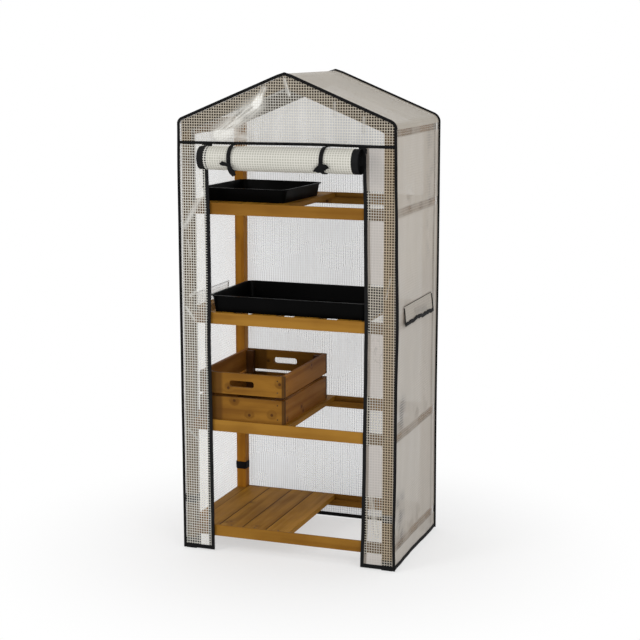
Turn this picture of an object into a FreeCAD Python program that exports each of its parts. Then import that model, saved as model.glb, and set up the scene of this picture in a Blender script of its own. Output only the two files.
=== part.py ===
import FreeCAD, Part
import math
import os

# Wooden mini greenhouse: a timber frame with four slatted shelves under a film cover.
# Millimetres, +Z up, +X to the viewer's right, the door faces -Y.
# The model is written with Y = 0 on the front faces of the posts, and export() moves it
# so that the origin lies on the floor at the middle of the whole outline.

# Timber frame
frame_width = 650.0
frame_depth = 424.0
post_size = 30.0
rail_height = 34.0
rail_thickness = 18.0
rail_lip = 5.0
lowest_rail_z = 46.5
level_pitch = 324.4
level_count = 4
roof_slope_deg = 22.5
roof_edge_z = 1290.0
rafter_depth = 34.0
eave_rail_drop = 5.0
ridge_beam_thickness = 18.0

# Shelf slats
slat_width = 74.0
slat_thickness = 15.0
slat_count = 4
slat_joint = 1.0
slat_end_clearance = 0.5
spread_level = 3
spread_shift = -10.0

# Foot caps
cap_wall = 1.5
cap_floor = 3.0
cap_height = 33.5

# Frame fasteners
screw_head_radius = 4.5
screw_head_height = 3.0
screw_socket_radius = 2.2
screw_socket_depth = 2.0
screw_radius = 2.25
screw_length = 58.0
side_screw_height = 10.0
front_screw_height = 25.0
dowel_radius = 4.0
dowel_length = 34.0
post_dowel_rise = 12.0
dowel_clearance = 1.0
nail_head_radius = 3.0
nail_head_height = 1.0
nail_radius = 1.3
nail_length = 28.0

# Crate on the second level
crate_width = 271.0
crate_depth = 371.0
crate_from_post = 15.0
crate_front = 6.0
crate_level = 2
crate_board = 11.0
crate_lower_board = 71.0
crate_board_gap = 10.0
crate_upper_board = 63.0
crate_batten = 22.0
crate_batten_top_gap = 3.0
crate_base_thickness = 8.0
crate_base_slat_count = 5
crate_base_slat_gap = 12.0
hand_slot_length = 78.0
hand_slot_height = 20.0
hand_slot_corner = 8.0
crate_nail_head_radius = 2.2
crate_nail_head_height = 0.8
crate_nail_radius = 0.9
crate_nail_length = 24.0
crate_nail_edge = 14.0

# Plastic trays
tray_wall = 2.0
tray_taper = 8.0
tray_lip_width = 5.0
tray_lip_thickness = 2.5
tray_corner = 22.0
large_tray_size = (498.0, 310.0, 50.0)
large_tray_centre = (1.0, 160.0)
large_tray_level = 3
small_tray_size = (279.0, 293.0, 40.0)
small_tray_from_post = 9.5
small_tray_centre_y = 185.0
small_tray_turn_deg = -2.7
small_tray_level = 4

# Film cover
cover_gap = 6.0
film = 1.0
cover_corner = 20.0
cover_ridge_corner = 12.0
hem_clearance = 4.0
hem_height = 12.0
hem_thickness = 2.0
header_z = 1229.0
doorway_inset = 82.0
film_to_zip = 3.0
binding_width = 7.0
binding_thickness = 5.0
binding_outward = 3.0

# Door zips
zip_chain_width = 4.0
zip_chain_thickness = 2.0
zip_tape_width = 15.0
zip_tape_thickness = 1.0
zip_running_gap = 0.4
slider_height = 14.0
slider_plate = 1.7
slider_web = 3.0
slider_reach = 3.0
slider_top_gap = 3.5
pull_thickness = 1.3
pull_width = 6.0
pull_length = 26.0
pull_hang = 5.0

# Rolled-up door
roll_radius = 37.0
roll_core_radius = 13.0
roll_half_turns = 15
roll_gap = 0.6
roll_top_below_header = 3.0
roll_tape_width = 20.0

# Door ties
tie_width = 11.0
tie_thickness = 1.2
tie_clearance = 0.1
tie_places = (-142.0, 136.0)
tie_leave_deg = 84.0
tie_knot = (9.0, 6.0, 9.0)
tie_knot_deg = 188.0
tie_knot_sink = 0.6
tie_loop_length = 20.0
tie_loop_height = 7.0
tie_loop_droop_deg = 25.0
tie_loop_overlap = 1.0
tie_loop_width = 9.0
tie_loop_end_flat = 0.2
tie_tail_length = 24.0
tie_tail_offset = 2.0

# Vent windows and flaps in the side walls
vent_length = 291.0
vent_height = 57.0
vent_top_z = 767.0
vent_centre_from_front = 217.5
vent_margin = 10.0
vent_net_thickness = 0.6
vent_stand_off = 0.3
vent_rest_deg = 6.0
vent_binding_width = 6.0
vent_binding_thickness = 2.0
vent_binding_below_seam = 4.0

# Straps that hold the cover to the posts
strap_z = 154.0
strap_height = 24.0
strap_thickness = 2.0
strap_pad_width = 18.0

# Places worked out from the sizes above
half_width = frame_width / 2.0
post_inner = half_width - post_size
slope = math.radians(roof_slope_deg)
ridge_z = roof_edge_z + half_width * math.tan(slope)
rafter_drop = rafter_depth / math.cos(slope)
rail_zs = [lowest_rail_z + level_pitch * i for i in range(level_count)]
shelf_zs = [z + rail_height for z in rail_zs]
rear_inner = frame_depth - post_size
cover_out = cover_gap + film
cover_half = half_width + cover_out
cover_front = -cover_out
cover_rear = frame_depth + cover_out
binding_front = cover_front - binding_thickness
opening_half = half_width - doorway_inset
flap_edge = opening_half + film_to_zip
small_tray_left = small_tray_from_post - post_inner
small_tray_centre = (small_tray_left + small_tray_size[0] / 2.0, small_tray_centre_y)


def box(x0, x1, y0, y1, z0, z1):
    corner = FreeCAD.Vector(min(x0, x1), min(y0, y1), min(z0, z1))
    return Part.makeBox(abs(x1 - x0), abs(y1 - y0), abs(z1 - z0), corner)


def rod(radius, start, direction, length):
    return Part.makeCylinder(radius, length, FreeCAD.Vector(*start), FreeCAD.Vector(*direction))


def prism_xz(points, y0, y1):
    corners = [FreeCAD.Vector(x, y0, z) for x, z in points]
    face = Part.Face(Part.makePolygon(corners + corners[:1]))
    return face.extrude(FreeCAD.Vector(0, y1 - y0, 0))


def prism_yz(points, x0, x1):
    corners = [FreeCAD.Vector(x0, y, z) for y, z in points]
    face = Part.Face(Part.makePolygon(corners + corners[:1]))
    return face.extrude(FreeCAD.Vector(x1 - x0, 0, 0))


def joined(shapes):
    result = shapes[0]
    for other in shapes[1:]:
        result = result.fuse(other)
    return result.removeSplitter()


def rounded_edges(corners):
    """Lines and arcs round a closed flat outline; each corner is (point, radius)."""
    edges = []
    stops = []
    count = len(corners)
    for i, (point, radius) in enumerate(corners):
        before = (corners[i - 1][0] - point).normalize()
        after = (corners[(i + 1) % count][0] - point).normalize()
        if radius <= 0:
            stops.append((point, None, point))
            continue
        half = before.getAngle(after) / 2.0
        reach = radius / math.tan(half)
        middle = (before + after).normalize() * (radius / math.sin(half) - radius)
        stops.append((point + before * reach, point + middle, point + after * reach))
    for i, (first, middle, last) in enumerate(stops):
        if middle is not None:
            edges.append(Part.Arc(first, middle, last).toShape())
        following = stops[(i + 1) % count][0]
        edges.append(Part.LineSegment(last, following).toShape())
    return edges


def rounded_rectangle(centre, width, depth, radius, z):
    x, y = centre
    signs = ((-1, -1), (1, -1), (1, 1), (-1, 1))
    corners = [
        (FreeCAD.Vector(x + sx * width / 2.0, y + sy * depth / 2.0, z), radius) for sx, sy in signs
    ]
    return Part.Wire(rounded_edges(corners))


# Timber frame


def screw(start, direction):
    """A socket-head wood screw; start is the middle of its head's flat top."""
    along = FreeCAD.Vector(*direction)
    base = FreeCAD.Vector(*start)
    head = Part.makeCylinder(screw_head_radius, screw_head_height, base, along)
    shank_start = base + along * screw_head_height
    shank = Part.makeCylinder(screw_radius, screw_length - screw_head_height, shank_start, along)
    return head.fuse(shank)


def socket(start, direction):
    return rod(screw_socket_radius, start, direction, screw_socket_depth)


def frame_screw_places():
    """Each post takes one screw into the front or rear rail and one into the side rail."""
    places = []
    for z in rail_zs:
        for sx in (-1, 1):
            for y in (rail_thickness / 2.0, frame_depth - rail_thickness / 2.0):
                places.append(((sx * half_width, y, z + side_screw_height), (-sx, 0, 0)))
            x = sx * (half_width - post_size / 2.0)
            places.append(((x, 0, z + front_screw_height), (0, 1, 0)))
            places.append(((x, frame_depth, z + front_screw_height), (0, -1, 0)))
    return places


def make_post(sx, rear):
    y0 = rear_inner if rear else 0.0
    outer_top = roof_edge_z - rafter_drop
    inner_top = outer_top + post_size * math.tan(slope)
    outline = [
        (sx * post_inner, cap_floor),
        (sx * half_width, cap_floor),
        (sx * half_width, outer_top),
        (sx * post_inner, inner_top),
    ]
    return prism_xz(outline, y0, y0 + post_size)


def make_foot_cap(sx, rear):
    y0 = rear_inner if rear else 0.0
    x0, x1 = sorted((sx * post_inner, sx * half_width))
    outer = box(x0 - cap_wall, x1 + cap_wall, y0 - cap_wall, y0 + post_size + cap_wall, 0, cap_height)
    return outer.cut(box(x0, x1, y0, y0 + post_size, cap_floor, cap_height))


def make_long_rail(z, rear):
    """Front or rear rail: an L section whose step carries the ends of the slats."""
    step = rail_height - slat_thickness
    outline = [(0, 0), (rail_thickness, 0), (rail_thickness, step), (rail_lip, step)]
    outline += [(rail_lip, rail_height), (0, rail_height)]
    if rear:
        outline = [(frame_depth - y, h) for y, h in outline]
    return prism_yz([(y, z + h) for y, h in outline], -post_inner, post_inner)


def make_side_rail(z, sx):
    return box(sx * post_inner, sx * half_width, post_size, rear_inner, z, z + rail_height)


def make_rafter(sx, rear):
    y0 = rear_inner if rear else 0.0
    outline = [
        (0, ridge_z),
        (sx * half_width, roof_edge_z),
        (sx * half_width, roof_edge_z - rafter_drop),
        (0, ridge_z - rafter_drop),
    ]
    return prism_xz(outline, y0, y0 + post_size)


def make_ridge_beam():
    half = ridge_beam_thickness / 2.0
    top = ridge_z - half * math.tan(slope)
    return box(-half, half, post_size, rear_inner, top - rail_height, top)


def roof_dowels():
    """Hidden dowels: rafters to posts, eave rails to rafters, ridge beam to rafters."""
    dowels = []
    seat_z = roof_edge_z - rafter_drop + post_size / 2.0 * math.tan(slope)
    post_dowel_top = seat_z + post_dowel_rise
    eave_dowel_z = post_dowel_top + dowel_clearance + dowel_radius
    for sx in (-1, 1):
        x = sx * (half_width - post_size / 2.0)
        for y in (post_size / 2.0, frame_depth - post_size / 2.0):
            dowels.append(rod(dowel_radius, (x, y, post_dowel_top), (0, 0, -1), dowel_length))
        for y in (post_size, rear_inner):
            start = (x, y - dowel_length / 2.0, eave_dowel_z)
            dowels.append(rod(dowel_radius, start, (0, 1, 0), dowel_length))
    ridge_dowel_z = ridge_z - rafter_drop / 2.0
    for y in (post_size, rear_inner):
        start = (0, y - dowel_length / 2.0, ridge_dowel_z)
        dowels.append(rod(dowel_radius, start, (0, 1, 0), dowel_length))
    return dowels


def slat_lefts(level):
    """Left edges of a level's slats: side by side from the left, or spread over the width."""
    if level == spread_level:
        gap = (2 * post_inner - slat_count * slat_width) / (slat_count + 1)
        first = -post_inner + gap + spread_shift
        return [first + i * (slat_width + gap) for i in range(slat_count)]
    first = -post_inner + slat_joint / 2.0
    return [first + i * (slat_width + slat_joint) for i in range(slat_count)]


def make_slat(level, left):
    top = shelf_zs[level - 1]
    front = rail_lip + slat_end_clearance
    return box(left, left + slat_width, front, frame_depth - front, top - slat_thickness, top)


def slat_nails(level):
    """One nail through each end of each slat into the step of the rail."""
    nails = []
    top = shelf_zs[level - 1]
    along = (rail_lip + rail_thickness) / 2.0
    for left in slat_lefts(level):
        for y in (along, frame_depth - along):
            x = left + slat_width / 2.0
            nails.append(make_nail((x, y, top), (0, 0, -1), nail_head_radius, nail_head_height,
                                   nail_radius, nail_length))
    return nails


def make_nail(start, direction, head_radius, head_height, radius, length):
    along = FreeCAD.Vector(*direction)
    base = FreeCAD.Vector(*start)
    head = Part.makeCylinder(head_radius, head_height, base, along)
    shank = Part.makeCylinder(radius, length - head_height, base + along * head_height, along)
    return head.fuse(shank)


def drilled(shape, tools):
    """The shape with every tool that reaches it cut out."""
    reaching = [tool for tool in tools if tool.BoundBox.intersect(shape.BoundBox)]
    return shape.cut(reaching) if reaching else shape


# Crate


def crate_box():
    z0 = shelf_zs[crate_level - 1]
    height = crate_lower_board + crate_board_gap + crate_upper_board
    left = crate_from_post - post_inner
    return (left, left + crate_width, crate_front, crate_front + crate_depth, z0, z0 + height)


def crate_rows():
    """Low and high edge of the lower and the upper row of boards."""
    z0 = crate_box()[4]
    upper = z0 + crate_lower_board + crate_board_gap
    return [(z0, z0 + crate_lower_board), (upper, upper + crate_upper_board)]


def hand_slot(y0):
    x0, x1 = crate_box()[:2]
    low, high = crate_rows()[1]
    middle_x = (x0 + x1) / 2.0
    middle_z = (low + high) / 2.0
    signs = ((-1, -1), (1, -1), (1, 1), (-1, 1))
    corners = []
    for sx, sz in signs:
        x = middle_x + sx * hand_slot_length / 2.0
        z = middle_z + sz * hand_slot_height / 2.0
        corners.append((FreeCAD.Vector(x, y0, z), hand_slot_corner))
    face = Part.Face(Part.Wire(rounded_edges(corners)))
    return face.extrude(FreeCAD.Vector(0, crate_board, 0))


def crate_end_boards(rear):
    x0, x1, y0, y1 = crate_box()[:4]
    near = y1 - crate_board if rear else y0
    lower, upper = [box(x0, x1, near, near + crate_board, low, high) for low, high in crate_rows()]
    return [lower, upper.cut(hand_slot(near))]


def crate_side_boards(sx):
    x0, x1, y0, y1 = crate_box()[:4]
    near = x1 - crate_board if sx > 0 else x0
    ends = (y0 + crate_board, y1 - crate_board)
    return [box(near, near + crate_board, ends[0], ends[1], low, high) for low, high in crate_rows()]


def crate_battens():
    x0, x1, y0, y1, z0, z1 = crate_box()
    battens = []
    for x in (x0 + crate_board, x1 - crate_board - crate_batten):
        for y in (y0 + crate_board, y1 - crate_board - crate_batten):
            low = z0 + crate_base_thickness
            battens.append(box(x, x + crate_batten, y, y + crate_batten, low, z1 - crate_batten_top_gap))
    return battens


def crate_base_slats():
    x0, x1, y0, y1, z0 = crate_box()[:5]
    span = crate_depth - 2 * crate_board
    width = (span - (crate_base_slat_count - 1) * crate_base_slat_gap) / crate_base_slat_count
    slats = []
    for i in range(crate_base_slat_count):
        y = y0 + crate_board + i * (width + crate_base_slat_gap)
        slats.append(box(x0 + crate_board, x1 - crate_board, y, y + width, z0, z0 + crate_base_thickness))
    return slats


def crate_nails():
    """Two nails hold each end of each board to its corner batten."""
    x0, x1, y0, y1 = crate_box()[:4]
    inset = crate_board + crate_batten / 2.0
    sizes = (crate_nail_head_radius, crate_nail_head_height, crate_nail_radius, crate_nail_length)
    nails = []
    for low, high in crate_rows():
        for z in (low + crate_nail_edge, high - crate_nail_edge):
            for x in (x0 + inset, x1 - inset):
                nails.append(make_nail((x, y0, z), (0, 1, 0), *sizes))
                nails.append(make_nail((x, y1, z), (0, -1, 0), *sizes))
            side_z = z + 2 * crate_nail_head_radius
            for y in (y0 + inset, y1 - inset):
                nails.append(make_nail((x0, y, side_z), (1, 0, 0), *sizes))
                nails.append(make_nail((x1, y, side_z), (-1, 0, 0), *sizes))
    return nails


# Trays


def make_tray(size, centre, level, turn_deg=0.0):
    """A tapered tray with a flat lip that turns outwards round its rim."""
    width, depth, height = size
    z0 = shelf_zs[level - 1]
    body_width = width - 2 * tray_lip_width
    body_depth = depth - 2 * tray_lip_width

    def ring(inset, z):
        radius = tray_corner - inset
        return rounded_rectangle(centre, body_width - 2 * inset, body_depth - 2 * inset, radius, z)

    outside = Part.makeLoft([ring(tray_taper, z0), ring(0, z0 + height)], True, True)
    inside = Part.makeLoft(
        [ring(tray_taper + tray_wall, z0 + tray_wall), ring(tray_wall, z0 + height)], True, True
    )
    lip_z = z0 + height - tray_lip_thickness
    lip_outline = rounded_rectangle(centre, width, depth, tray_corner + tray_lip_width, lip_z)
    lip = Part.Face(lip_outline).extrude(FreeCAD.Vector(0, 0, tray_lip_thickness)).cut(outside)
    tray = joined([outside.cut(inside), lip])
    if turn_deg:
        tray.rotate(FreeCAD.Vector(centre[0], centre[1], 0), FreeCAD.Vector(0, 0, 1), turn_deg)
    return tray


# Film cover


def cover_wire(out, y, low_z):
    """The gable outline, out from the timber, from low_z up over the ridge."""
    half = half_width + out
    peak = ridge_z + out / math.cos(slope)
    eave = peak - half * math.tan(slope)
    round_extra = out - cover_out
    corners = [
        (FreeCAD.Vector(-half, y, low_z), 0),
        (FreeCAD.Vector(half, y, low_z), 0),
        (FreeCAD.Vector(half, y, eave), cover_corner + round_extra),
        (FreeCAD.Vector(0, y, peak), cover_ridge_corner + round_extra),
        (FreeCAD.Vector(-half, y, eave), cover_corner + round_extra),
    ]
    return Part.Wire(rounded_edges(corners))


def cover_prism(out, y0, y1, low_z=hem_clearance):
    return Part.Face(cover_wire(out, y0, low_z)).extrude(FreeCAD.Vector(0, y1 - y0, 0))


def wall_top_z():
    """Where the straight wall ends and the rounded eave begins."""
    eave = ridge_z + cover_out / math.cos(slope) - cover_half * math.tan(slope)
    return eave - cover_corner * math.tan(math.pi / 4.0 - slope / 2.0)


def cover_shell():
    outside = cover_prism(cover_out, -cover_gap, frame_depth + cover_gap)
    return outside.cut(cover_prism(cover_gap, -cover_gap, frame_depth + cover_gap, 0.0))


def vent_span():
    low = vent_centre_from_front - vent_length / 2.0
    return low, low + vent_length


def vent_hole(sx, thickness):
    """The window behind a vent flap, as a block of the given thickness in the wall."""
    y0, y1 = vent_span()
    middle = half_width + cover_gap + film / 2.0
    near = sx * (middle - thickness / 2.0)
    far = sx * (middle + thickness / 2.0)
    z0 = vent_top_z - vent_height
    return box(near, far, y0 + vent_margin, y1 - vent_margin, z0 + vent_margin, vent_top_z - vent_margin)


def shell_part(shell, sx, low_z, high_z):
    reach = 2 * frame_width
    return shell.common(box(0, sx * reach, -reach, reach, low_z, high_z))


def cover_band(y0, y1):
    """The binding along a gable outline: down both corners and over the roof."""
    outside = cover_prism(cover_out + binding_outward, y0, y1)
    inner_out = cover_out + binding_outward - binding_width
    return outside.cut(cover_prism(inner_out, y0, y1, 0.0))


def header_band():
    half = cover_half + binding_outward - binding_width
    low = header_z - binding_width / 2.0
    return box(-half, half, binding_front, cover_front, low, low + binding_width)


def hem_bands():
    """Folded hems on the outside of the panels, along their lower edges."""
    low = hem_clearance
    high = low + hem_height
    corner = cover_half + binding_outward - binding_width
    hems = []
    for sx in (-1, 1):
        hems.append(box(sx * flap_edge, sx * corner, cover_front - hem_thickness, cover_front, low, high))
        side = sx * cover_half
        hems.append(box(side, side + sx * hem_thickness, -cover_gap, frame_depth + cover_gap, low, high))
    hems.append(box(-corner, corner, cover_rear, cover_rear + hem_thickness, low, high))
    return hems


# Door zips


def zip_y():
    """The middle of the zip, which lies against the back of the flap's film."""
    return -cover_gap + zip_tape_thickness / 2.0


def header_low():
    return header_z - binding_width / 2.0


def make_zip(sx):
    y = zip_y()
    half_chain = zip_chain_thickness / 2.0
    half_tape = zip_tape_thickness / 2.0
    top = header_low()
    inner = opening_half - zip_chain_width
    chain = box(sx * inner, sx * opening_half, y - half_chain, y + half_chain, hem_clearance, top)
    tape_edge = opening_half + zip_tape_width
    tape = box(sx * opening_half, sx * tape_edge, y - half_tape, y + half_tape, hem_clearance, top)
    return joined([chain, tape])


def make_slider(sx):
    """Slider body round the chain, with its pull hanging in front of it."""
    y = zip_y()
    room = zip_chain_thickness / 2.0 + zip_running_gap
    inner = opening_half - zip_chain_width - zip_running_gap
    top = header_low() - slider_top_gap
    low = top - slider_height
    front = y - room - slider_plate
    back = y + room + slider_plate
    outer_edge = opening_half + slider_reach - zip_running_gap
    body = box(sx * (inner - slider_web), sx * outer_edge, front, back, low, top)
    channel = box(sx * inner, sx * (outer_edge + slider_web), y - room, y + room, low, top)
    pull_x = (inner - slider_web + outer_edge) / 2.0
    pull_low = low - pull_hang - pull_length + slider_height
    pull = box(
        sx * (pull_x - pull_width / 2.0), sx * (pull_x + pull_width / 2.0),
        front - pull_thickness, front, pull_low, pull_low + pull_length,
    )
    return [body.cut(channel), pull]


def slider_front():
    return zip_y() - zip_chain_thickness / 2.0 - zip_running_gap - slider_plate - pull_thickness


# Rolled-up door


def roll_centre():
    y = slider_front() - roll_gap - roll_radius
    z = header_z - roll_top_below_header - roll_radius
    return y, z


def roll_arcs(offset):
    """Half circles of the wound door, from its back round the bottom and inwards."""
    y, z = roll_centre()
    pitch = 2.0 * (roll_radius - roll_core_radius) / roll_half_turns
    arcs = []
    end = y + roll_radius
    for i in range(roll_half_turns):
        side = 1 if i % 2 == 0 else -1
        width = 2.0 * roll_radius - pitch / 2.0 - i * pitch
        middle = end - side * width / 2.0
        arcs.append((middle, z, width / 2.0 + offset, side))
        end -= side * width
    return arcs


def arc_edge(x, middle, z, radius, side):
    """A half circle in the YZ plane: through the bottom for side 1, over the top for -1."""
    first = FreeCAD.Vector(x, middle + side * radius, z)
    turn = FreeCAD.Vector(x, middle, z - side * radius)
    last = FreeCAD.Vector(x, middle - side * radius, z)
    return Part.Arc(first, turn, last).toShape()


def wound_sheet(x0, x1):
    outer = [arc_edge(x0, *arc) for arc in roll_arcs(0.0)]
    inner = [arc_edge(x0, *arc) for arc in roll_arcs(-film)]
    start = Part.LineSegment(inner[0].Vertexes[0].Point, outer[0].Vertexes[0].Point).toShape()
    finish = Part.LineSegment(outer[-1].Vertexes[-1].Point, inner[-1].Vertexes[-1].Point).toShape()
    wire = Part.Wire(Part.__sortEdges__(outer + [finish] + inner + [start]))
    return Part.Face(wire).extrude(FreeCAD.Vector(x1 - x0, 0, 0))


def hanging_sheet():
    y, z = roll_centre()
    back = y + roll_radius
    return box(-opening_half, opening_half, back - film, back, z, header_low())


def tie_band(x):
    """The flat tape of a tie: down behind the sheet, under the roll and back over its front."""
    z = roll_centre()[1]
    x0 = x - tie_width / 2.0
    near = roll_arcs(tie_clearance)
    far = roll_arcs(tie_clearance + tie_thickness)
    top = header_low()
    leave = math.radians(tie_leave_deg)

    def side_path(arcs, header_y, header_top):
        back = arcs[0][0] + arcs[0][2]
        down = Part.LineSegment(FreeCAD.Vector(x0, back, top), FreeCAD.Vector(x0, back, z)).toShape()
        under = arc_edge(x0, *arcs[0])
        middle, centre_z, radius = arcs[1][:3]
        first = FreeCAD.Vector(x0, middle - radius, centre_z)
        half = leave / 2.0
        turn = FreeCAD.Vector(x0, middle - radius * math.cos(half), centre_z + radius * math.sin(half))
        last = FreeCAD.Vector(x0, middle - radius * math.cos(leave), centre_z + radius * math.sin(leave))
        over = Part.Arc(first, turn, last).toShape()
        back_up = Part.LineSegment(last, FreeCAD.Vector(x0, header_y, header_top)).toShape()
        return [down, under, over, back_up]

    inner = side_path(near, binding_front, header_z - tie_thickness / 2.0)
    outer = side_path(far, binding_front, header_z + tie_thickness / 2.0)
    closing = [
        Part.LineSegment(inner[0].Vertexes[0].Point, outer[0].Vertexes[0].Point).toShape(),
        Part.LineSegment(inner[-1].Vertexes[-1].Point, outer[-1].Vertexes[-1].Point).toShape(),
    ]
    wire = Part.Wire(Part.__sortEdges__(inner + outer + closing))
    return Part.Face(wire).extrude(FreeCAD.Vector(tie_width, 0, 0))


def tie_knot_back():
    """Middle of the knot's back, which is sunk a little into the tape over the roll."""
    middle, z, radius = roll_arcs(tie_clearance + tie_thickness)[0][:3]
    angle = math.radians(tie_knot_deg)
    return middle + radius * math.cos(angle) + tie_knot_sink, z + radius * math.sin(angle)


def tie_bow(x):
    """Knot, two flat loops and two tails, tied on the lower front of the roll."""
    knot_y, knot_z = tie_knot_back()
    width, depth, height = tie_knot
    knot = box(x - width / 2.0, x + width / 2.0, knot_y - depth, knot_y,
               knot_z - height / 2.0, knot_z + height / 2.0)
    pieces = [knot]
    loop_y = knot_y - depth / 2.0
    for sx in (-1, 1):
        reach = (width + tie_loop_length) / 2.0 - tie_loop_overlap
        centre = (x + sx * reach, loop_y)
        low = knot_z - tie_loop_width / 2.0
        corner = (tie_loop_height - tie_loop_end_flat) / 2.0
        hole_length = tie_loop_length - 2 * tie_thickness
        hole_height = tie_loop_height - 2 * tie_thickness
        ring = rounded_rectangle(centre, tie_loop_length, tie_loop_height, corner, low)
        hole = rounded_rectangle(centre, hole_length, hole_height, corner - tie_thickness, low)
        loop = Part.Face(ring).cut(Part.Face(hole)).extrude(FreeCAD.Vector(0, 0, tie_loop_width))
        pivot = FreeCAD.Vector(x, loop_y, knot_z)
        loop.rotate(pivot, FreeCAD.Vector(0, 1, 0), sx * tie_loop_droop_deg)
        tail_edge = tie_tail_offset + tie_width / 2.0
        tail = box(x + sx * tie_tail_offset, x + sx * tail_edge, loop_y - tie_thickness, loop_y,
                   knot_z - tie_tail_length, knot_z)
        tail.rotate(pivot, FreeCAD.Vector(0, 1, 0), -sx * tie_loop_droop_deg / 2.0)
        pieces += [loop, tail]
    return joined(pieces)


# Vent flaps


def vent_hinge_x():
    """The seam that the flap turns on lies on the outer face of its film."""
    return cover_half + vent_stand_off + film


def tilted(shape, sx):
    """Turn a hanging flap out from the wall to where it stands at rest."""
    pivot = FreeCAD.Vector(sx * vent_hinge_x(), 0, vent_top_z)
    shape.rotate(pivot, FreeCAD.Vector(0, 1, 0), -sx * vent_rest_deg)
    return shape


def make_vent_flap(sx):
    y0, y1 = vent_span()
    x = sx * vent_hinge_x()
    return tilted(box(x - sx * film, x, y0, y1, vent_top_z - vent_height, vent_top_z), sx)


def make_vent_binding(sx):
    """A U of binding on the outside of the flap, along its two ends and lower edge."""
    y0, y1 = vent_span()
    x = sx * vent_hinge_x()
    far = x + sx * vent_binding_thickness
    low = vent_top_z - vent_height
    high = vent_top_z - vent_binding_below_seam
    width = vent_binding_width
    outer = box(x, far, y0, y1, low, high)
    return tilted(outer.cut(box(x, far, y0 + width, y1 - width, low + width, high)), sx)


# Straps


def make_post_strap(sx, rear):
    """A loop of webbing round a post, sewn to the wall of the cover by a short pad."""
    y0 = rear_inner if rear else 0.0
    x0, x1 = sorted((sx * post_inner, sx * half_width))
    low = strap_z - strap_height / 2.0
    high = low + strap_height
    t = strap_thickness
    loop = box(x0 - t, x1 + t, y0 - t, y0 + post_size + t, low, high)
    loop = loop.cut(box(x0, x1, y0, y0 + post_size, low, high))
    middle = y0 + post_size / 2.0
    near = sx * (half_width + t)
    far = sx * (half_width + cover_gap)
    pad = box(near, far, middle - strap_pad_width / 2.0, middle + strap_pad_width / 2.0, low, high)
    return joined([loop, pad])


# Export

front_reach = -(tie_knot_back()[0] - tie_knot[1] / 2.0 - max(tie_knot[1], tie_loop_height) / 2.0)
rear_reach = cover_rear + binding_thickness
front_face_y = (front_reach - rear_reach) / 2.0


def export(node, solids):
    if not isinstance(solids, (list, tuple)):
        solids = [solids]
    moved = []
    for solid in solids:
        for piece in solid.Solids:
            copy = piece.copy()
            copy.translate(FreeCAD.Vector(0, front_face_y, 0))
            moved.append(copy)
    shape = moved[0] if len(moved) == 1 else Part.makeCompound(moved)
    good = all(piece.isValid() and piece.Volume > 0 for piece in moved)
    shape.exportStep("parts/" + node + ".step")
    print(node, "solids", len(moved), "volume", round(shape.Volume), "valid", good)


os.makedirs("parts", exist_ok=True)

sides = (("left", -1), ("right", 1))
ends = (("front", False), ("rear", True))

screw_places = frame_screw_places()
screw_holes = [screw(start, direction) for start, direction in screw_places]
screws = [screw(start, direction).cut(socket(start, direction)) for start, direction in screw_places]
all_slat_nails = [nail for level in range(1, level_count + 1) for nail in slat_nails(level)]
dowels = roof_dowels()
frame_holes = screw_holes + all_slat_nails + dowels

for end_name, rear in ends:
    for side_name, sx in sides:
        export("post_" + end_name + "_" + side_name, drilled(make_post(sx, rear), frame_holes))
export("foot_caps", [make_foot_cap(sx, rear) for _, rear in ends for _, sx in sides])

for level, z in enumerate(rail_zs, start=1):
    export("front_rail_%d" % level, drilled(make_long_rail(z, False), frame_holes))
    export("rear_rail_%d" % level, drilled(make_long_rail(z, True), frame_holes))
    rails = [drilled(make_side_rail(z, sx), frame_holes) for _, sx in sides]
    export("side_rails_%d" % level, rails)
    slats = [drilled(make_slat(level, left), all_slat_nails) for left in slat_lefts(level)]
    export("shelf_slats_%d" % level, slats)

eave_z = roof_edge_z - eave_rail_drop - rail_height
export("eave_rails", [drilled(make_side_rail(eave_z, sx), dowels) for _, sx in sides])
export("front_rafters", [drilled(make_rafter(sx, False), dowels) for _, sx in sides])
export("rear_rafters", [drilled(make_rafter(sx, True), dowels) for _, sx in sides])
export("ridge_beam", drilled(make_ridge_beam(), dowels))
export("roof_dowels", dowels)
export("frame_screws", screws)
export("slat_nails", all_slat_nails)

nails = crate_nails()
export("crate_front_boards", [drilled(board, nails) for board in crate_end_boards(False)])
export("crate_rear_boards", [drilled(board, nails) for board in crate_end_boards(True)])
side_boards = [board for _, sx in sides for board in crate_side_boards(sx)]
export("crate_side_boards", [drilled(board, nails) for board in side_boards])
export("crate_corner_battens", [drilled(batten, nails) for batten in crate_battens()])
export("crate_base_slats", crate_base_slats())
export("crate_nails", nails)

export("large_tray", make_tray(large_tray_size, large_tray_centre, large_tray_level))
export("small_tray", make_tray(small_tray_size, small_tray_centre, small_tray_level, small_tray_turn_deg))

shell = cover_shell()
wall_top = wall_top_z()
roof_top = ridge_z + 2 * cover_out
front_panel = cover_prism(cover_out, cover_front, -cover_gap, header_z)
export("cover_front_gable", front_panel)
for side_name, sx in sides:
    flap = box(sx * flap_edge, sx * cover_half, cover_front, -cover_gap, hem_clearance, header_z)
    export("cover_flap_" + side_name, flap)
    wall = shell_part(shell, sx, 0, wall_top)
    export("cover_wall_" + side_name, wall.cut(vent_hole(sx, 2 * film)))
    export("cover_roof_" + side_name, shell_part(shell, sx, wall_top, roof_top))
    export("vent_flap_" + side_name, make_vent_flap(sx))
    export("vent_binding_" + side_name, make_vent_binding(sx))
    export("zip_slider_" + side_name, make_slider(sx))
export("cover_rear_panel", cover_prism(cover_out, frame_depth + cover_gap, cover_rear))
bands = [cover_band(binding_front, cover_front), cover_band(cover_rear, rear_reach), header_band()]
export("cover_bindings", bands)
export("cover_hems", hem_bands())
export("vent_nets", [vent_hole(sx, vent_net_thickness) for _, sx in sides])
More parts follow.
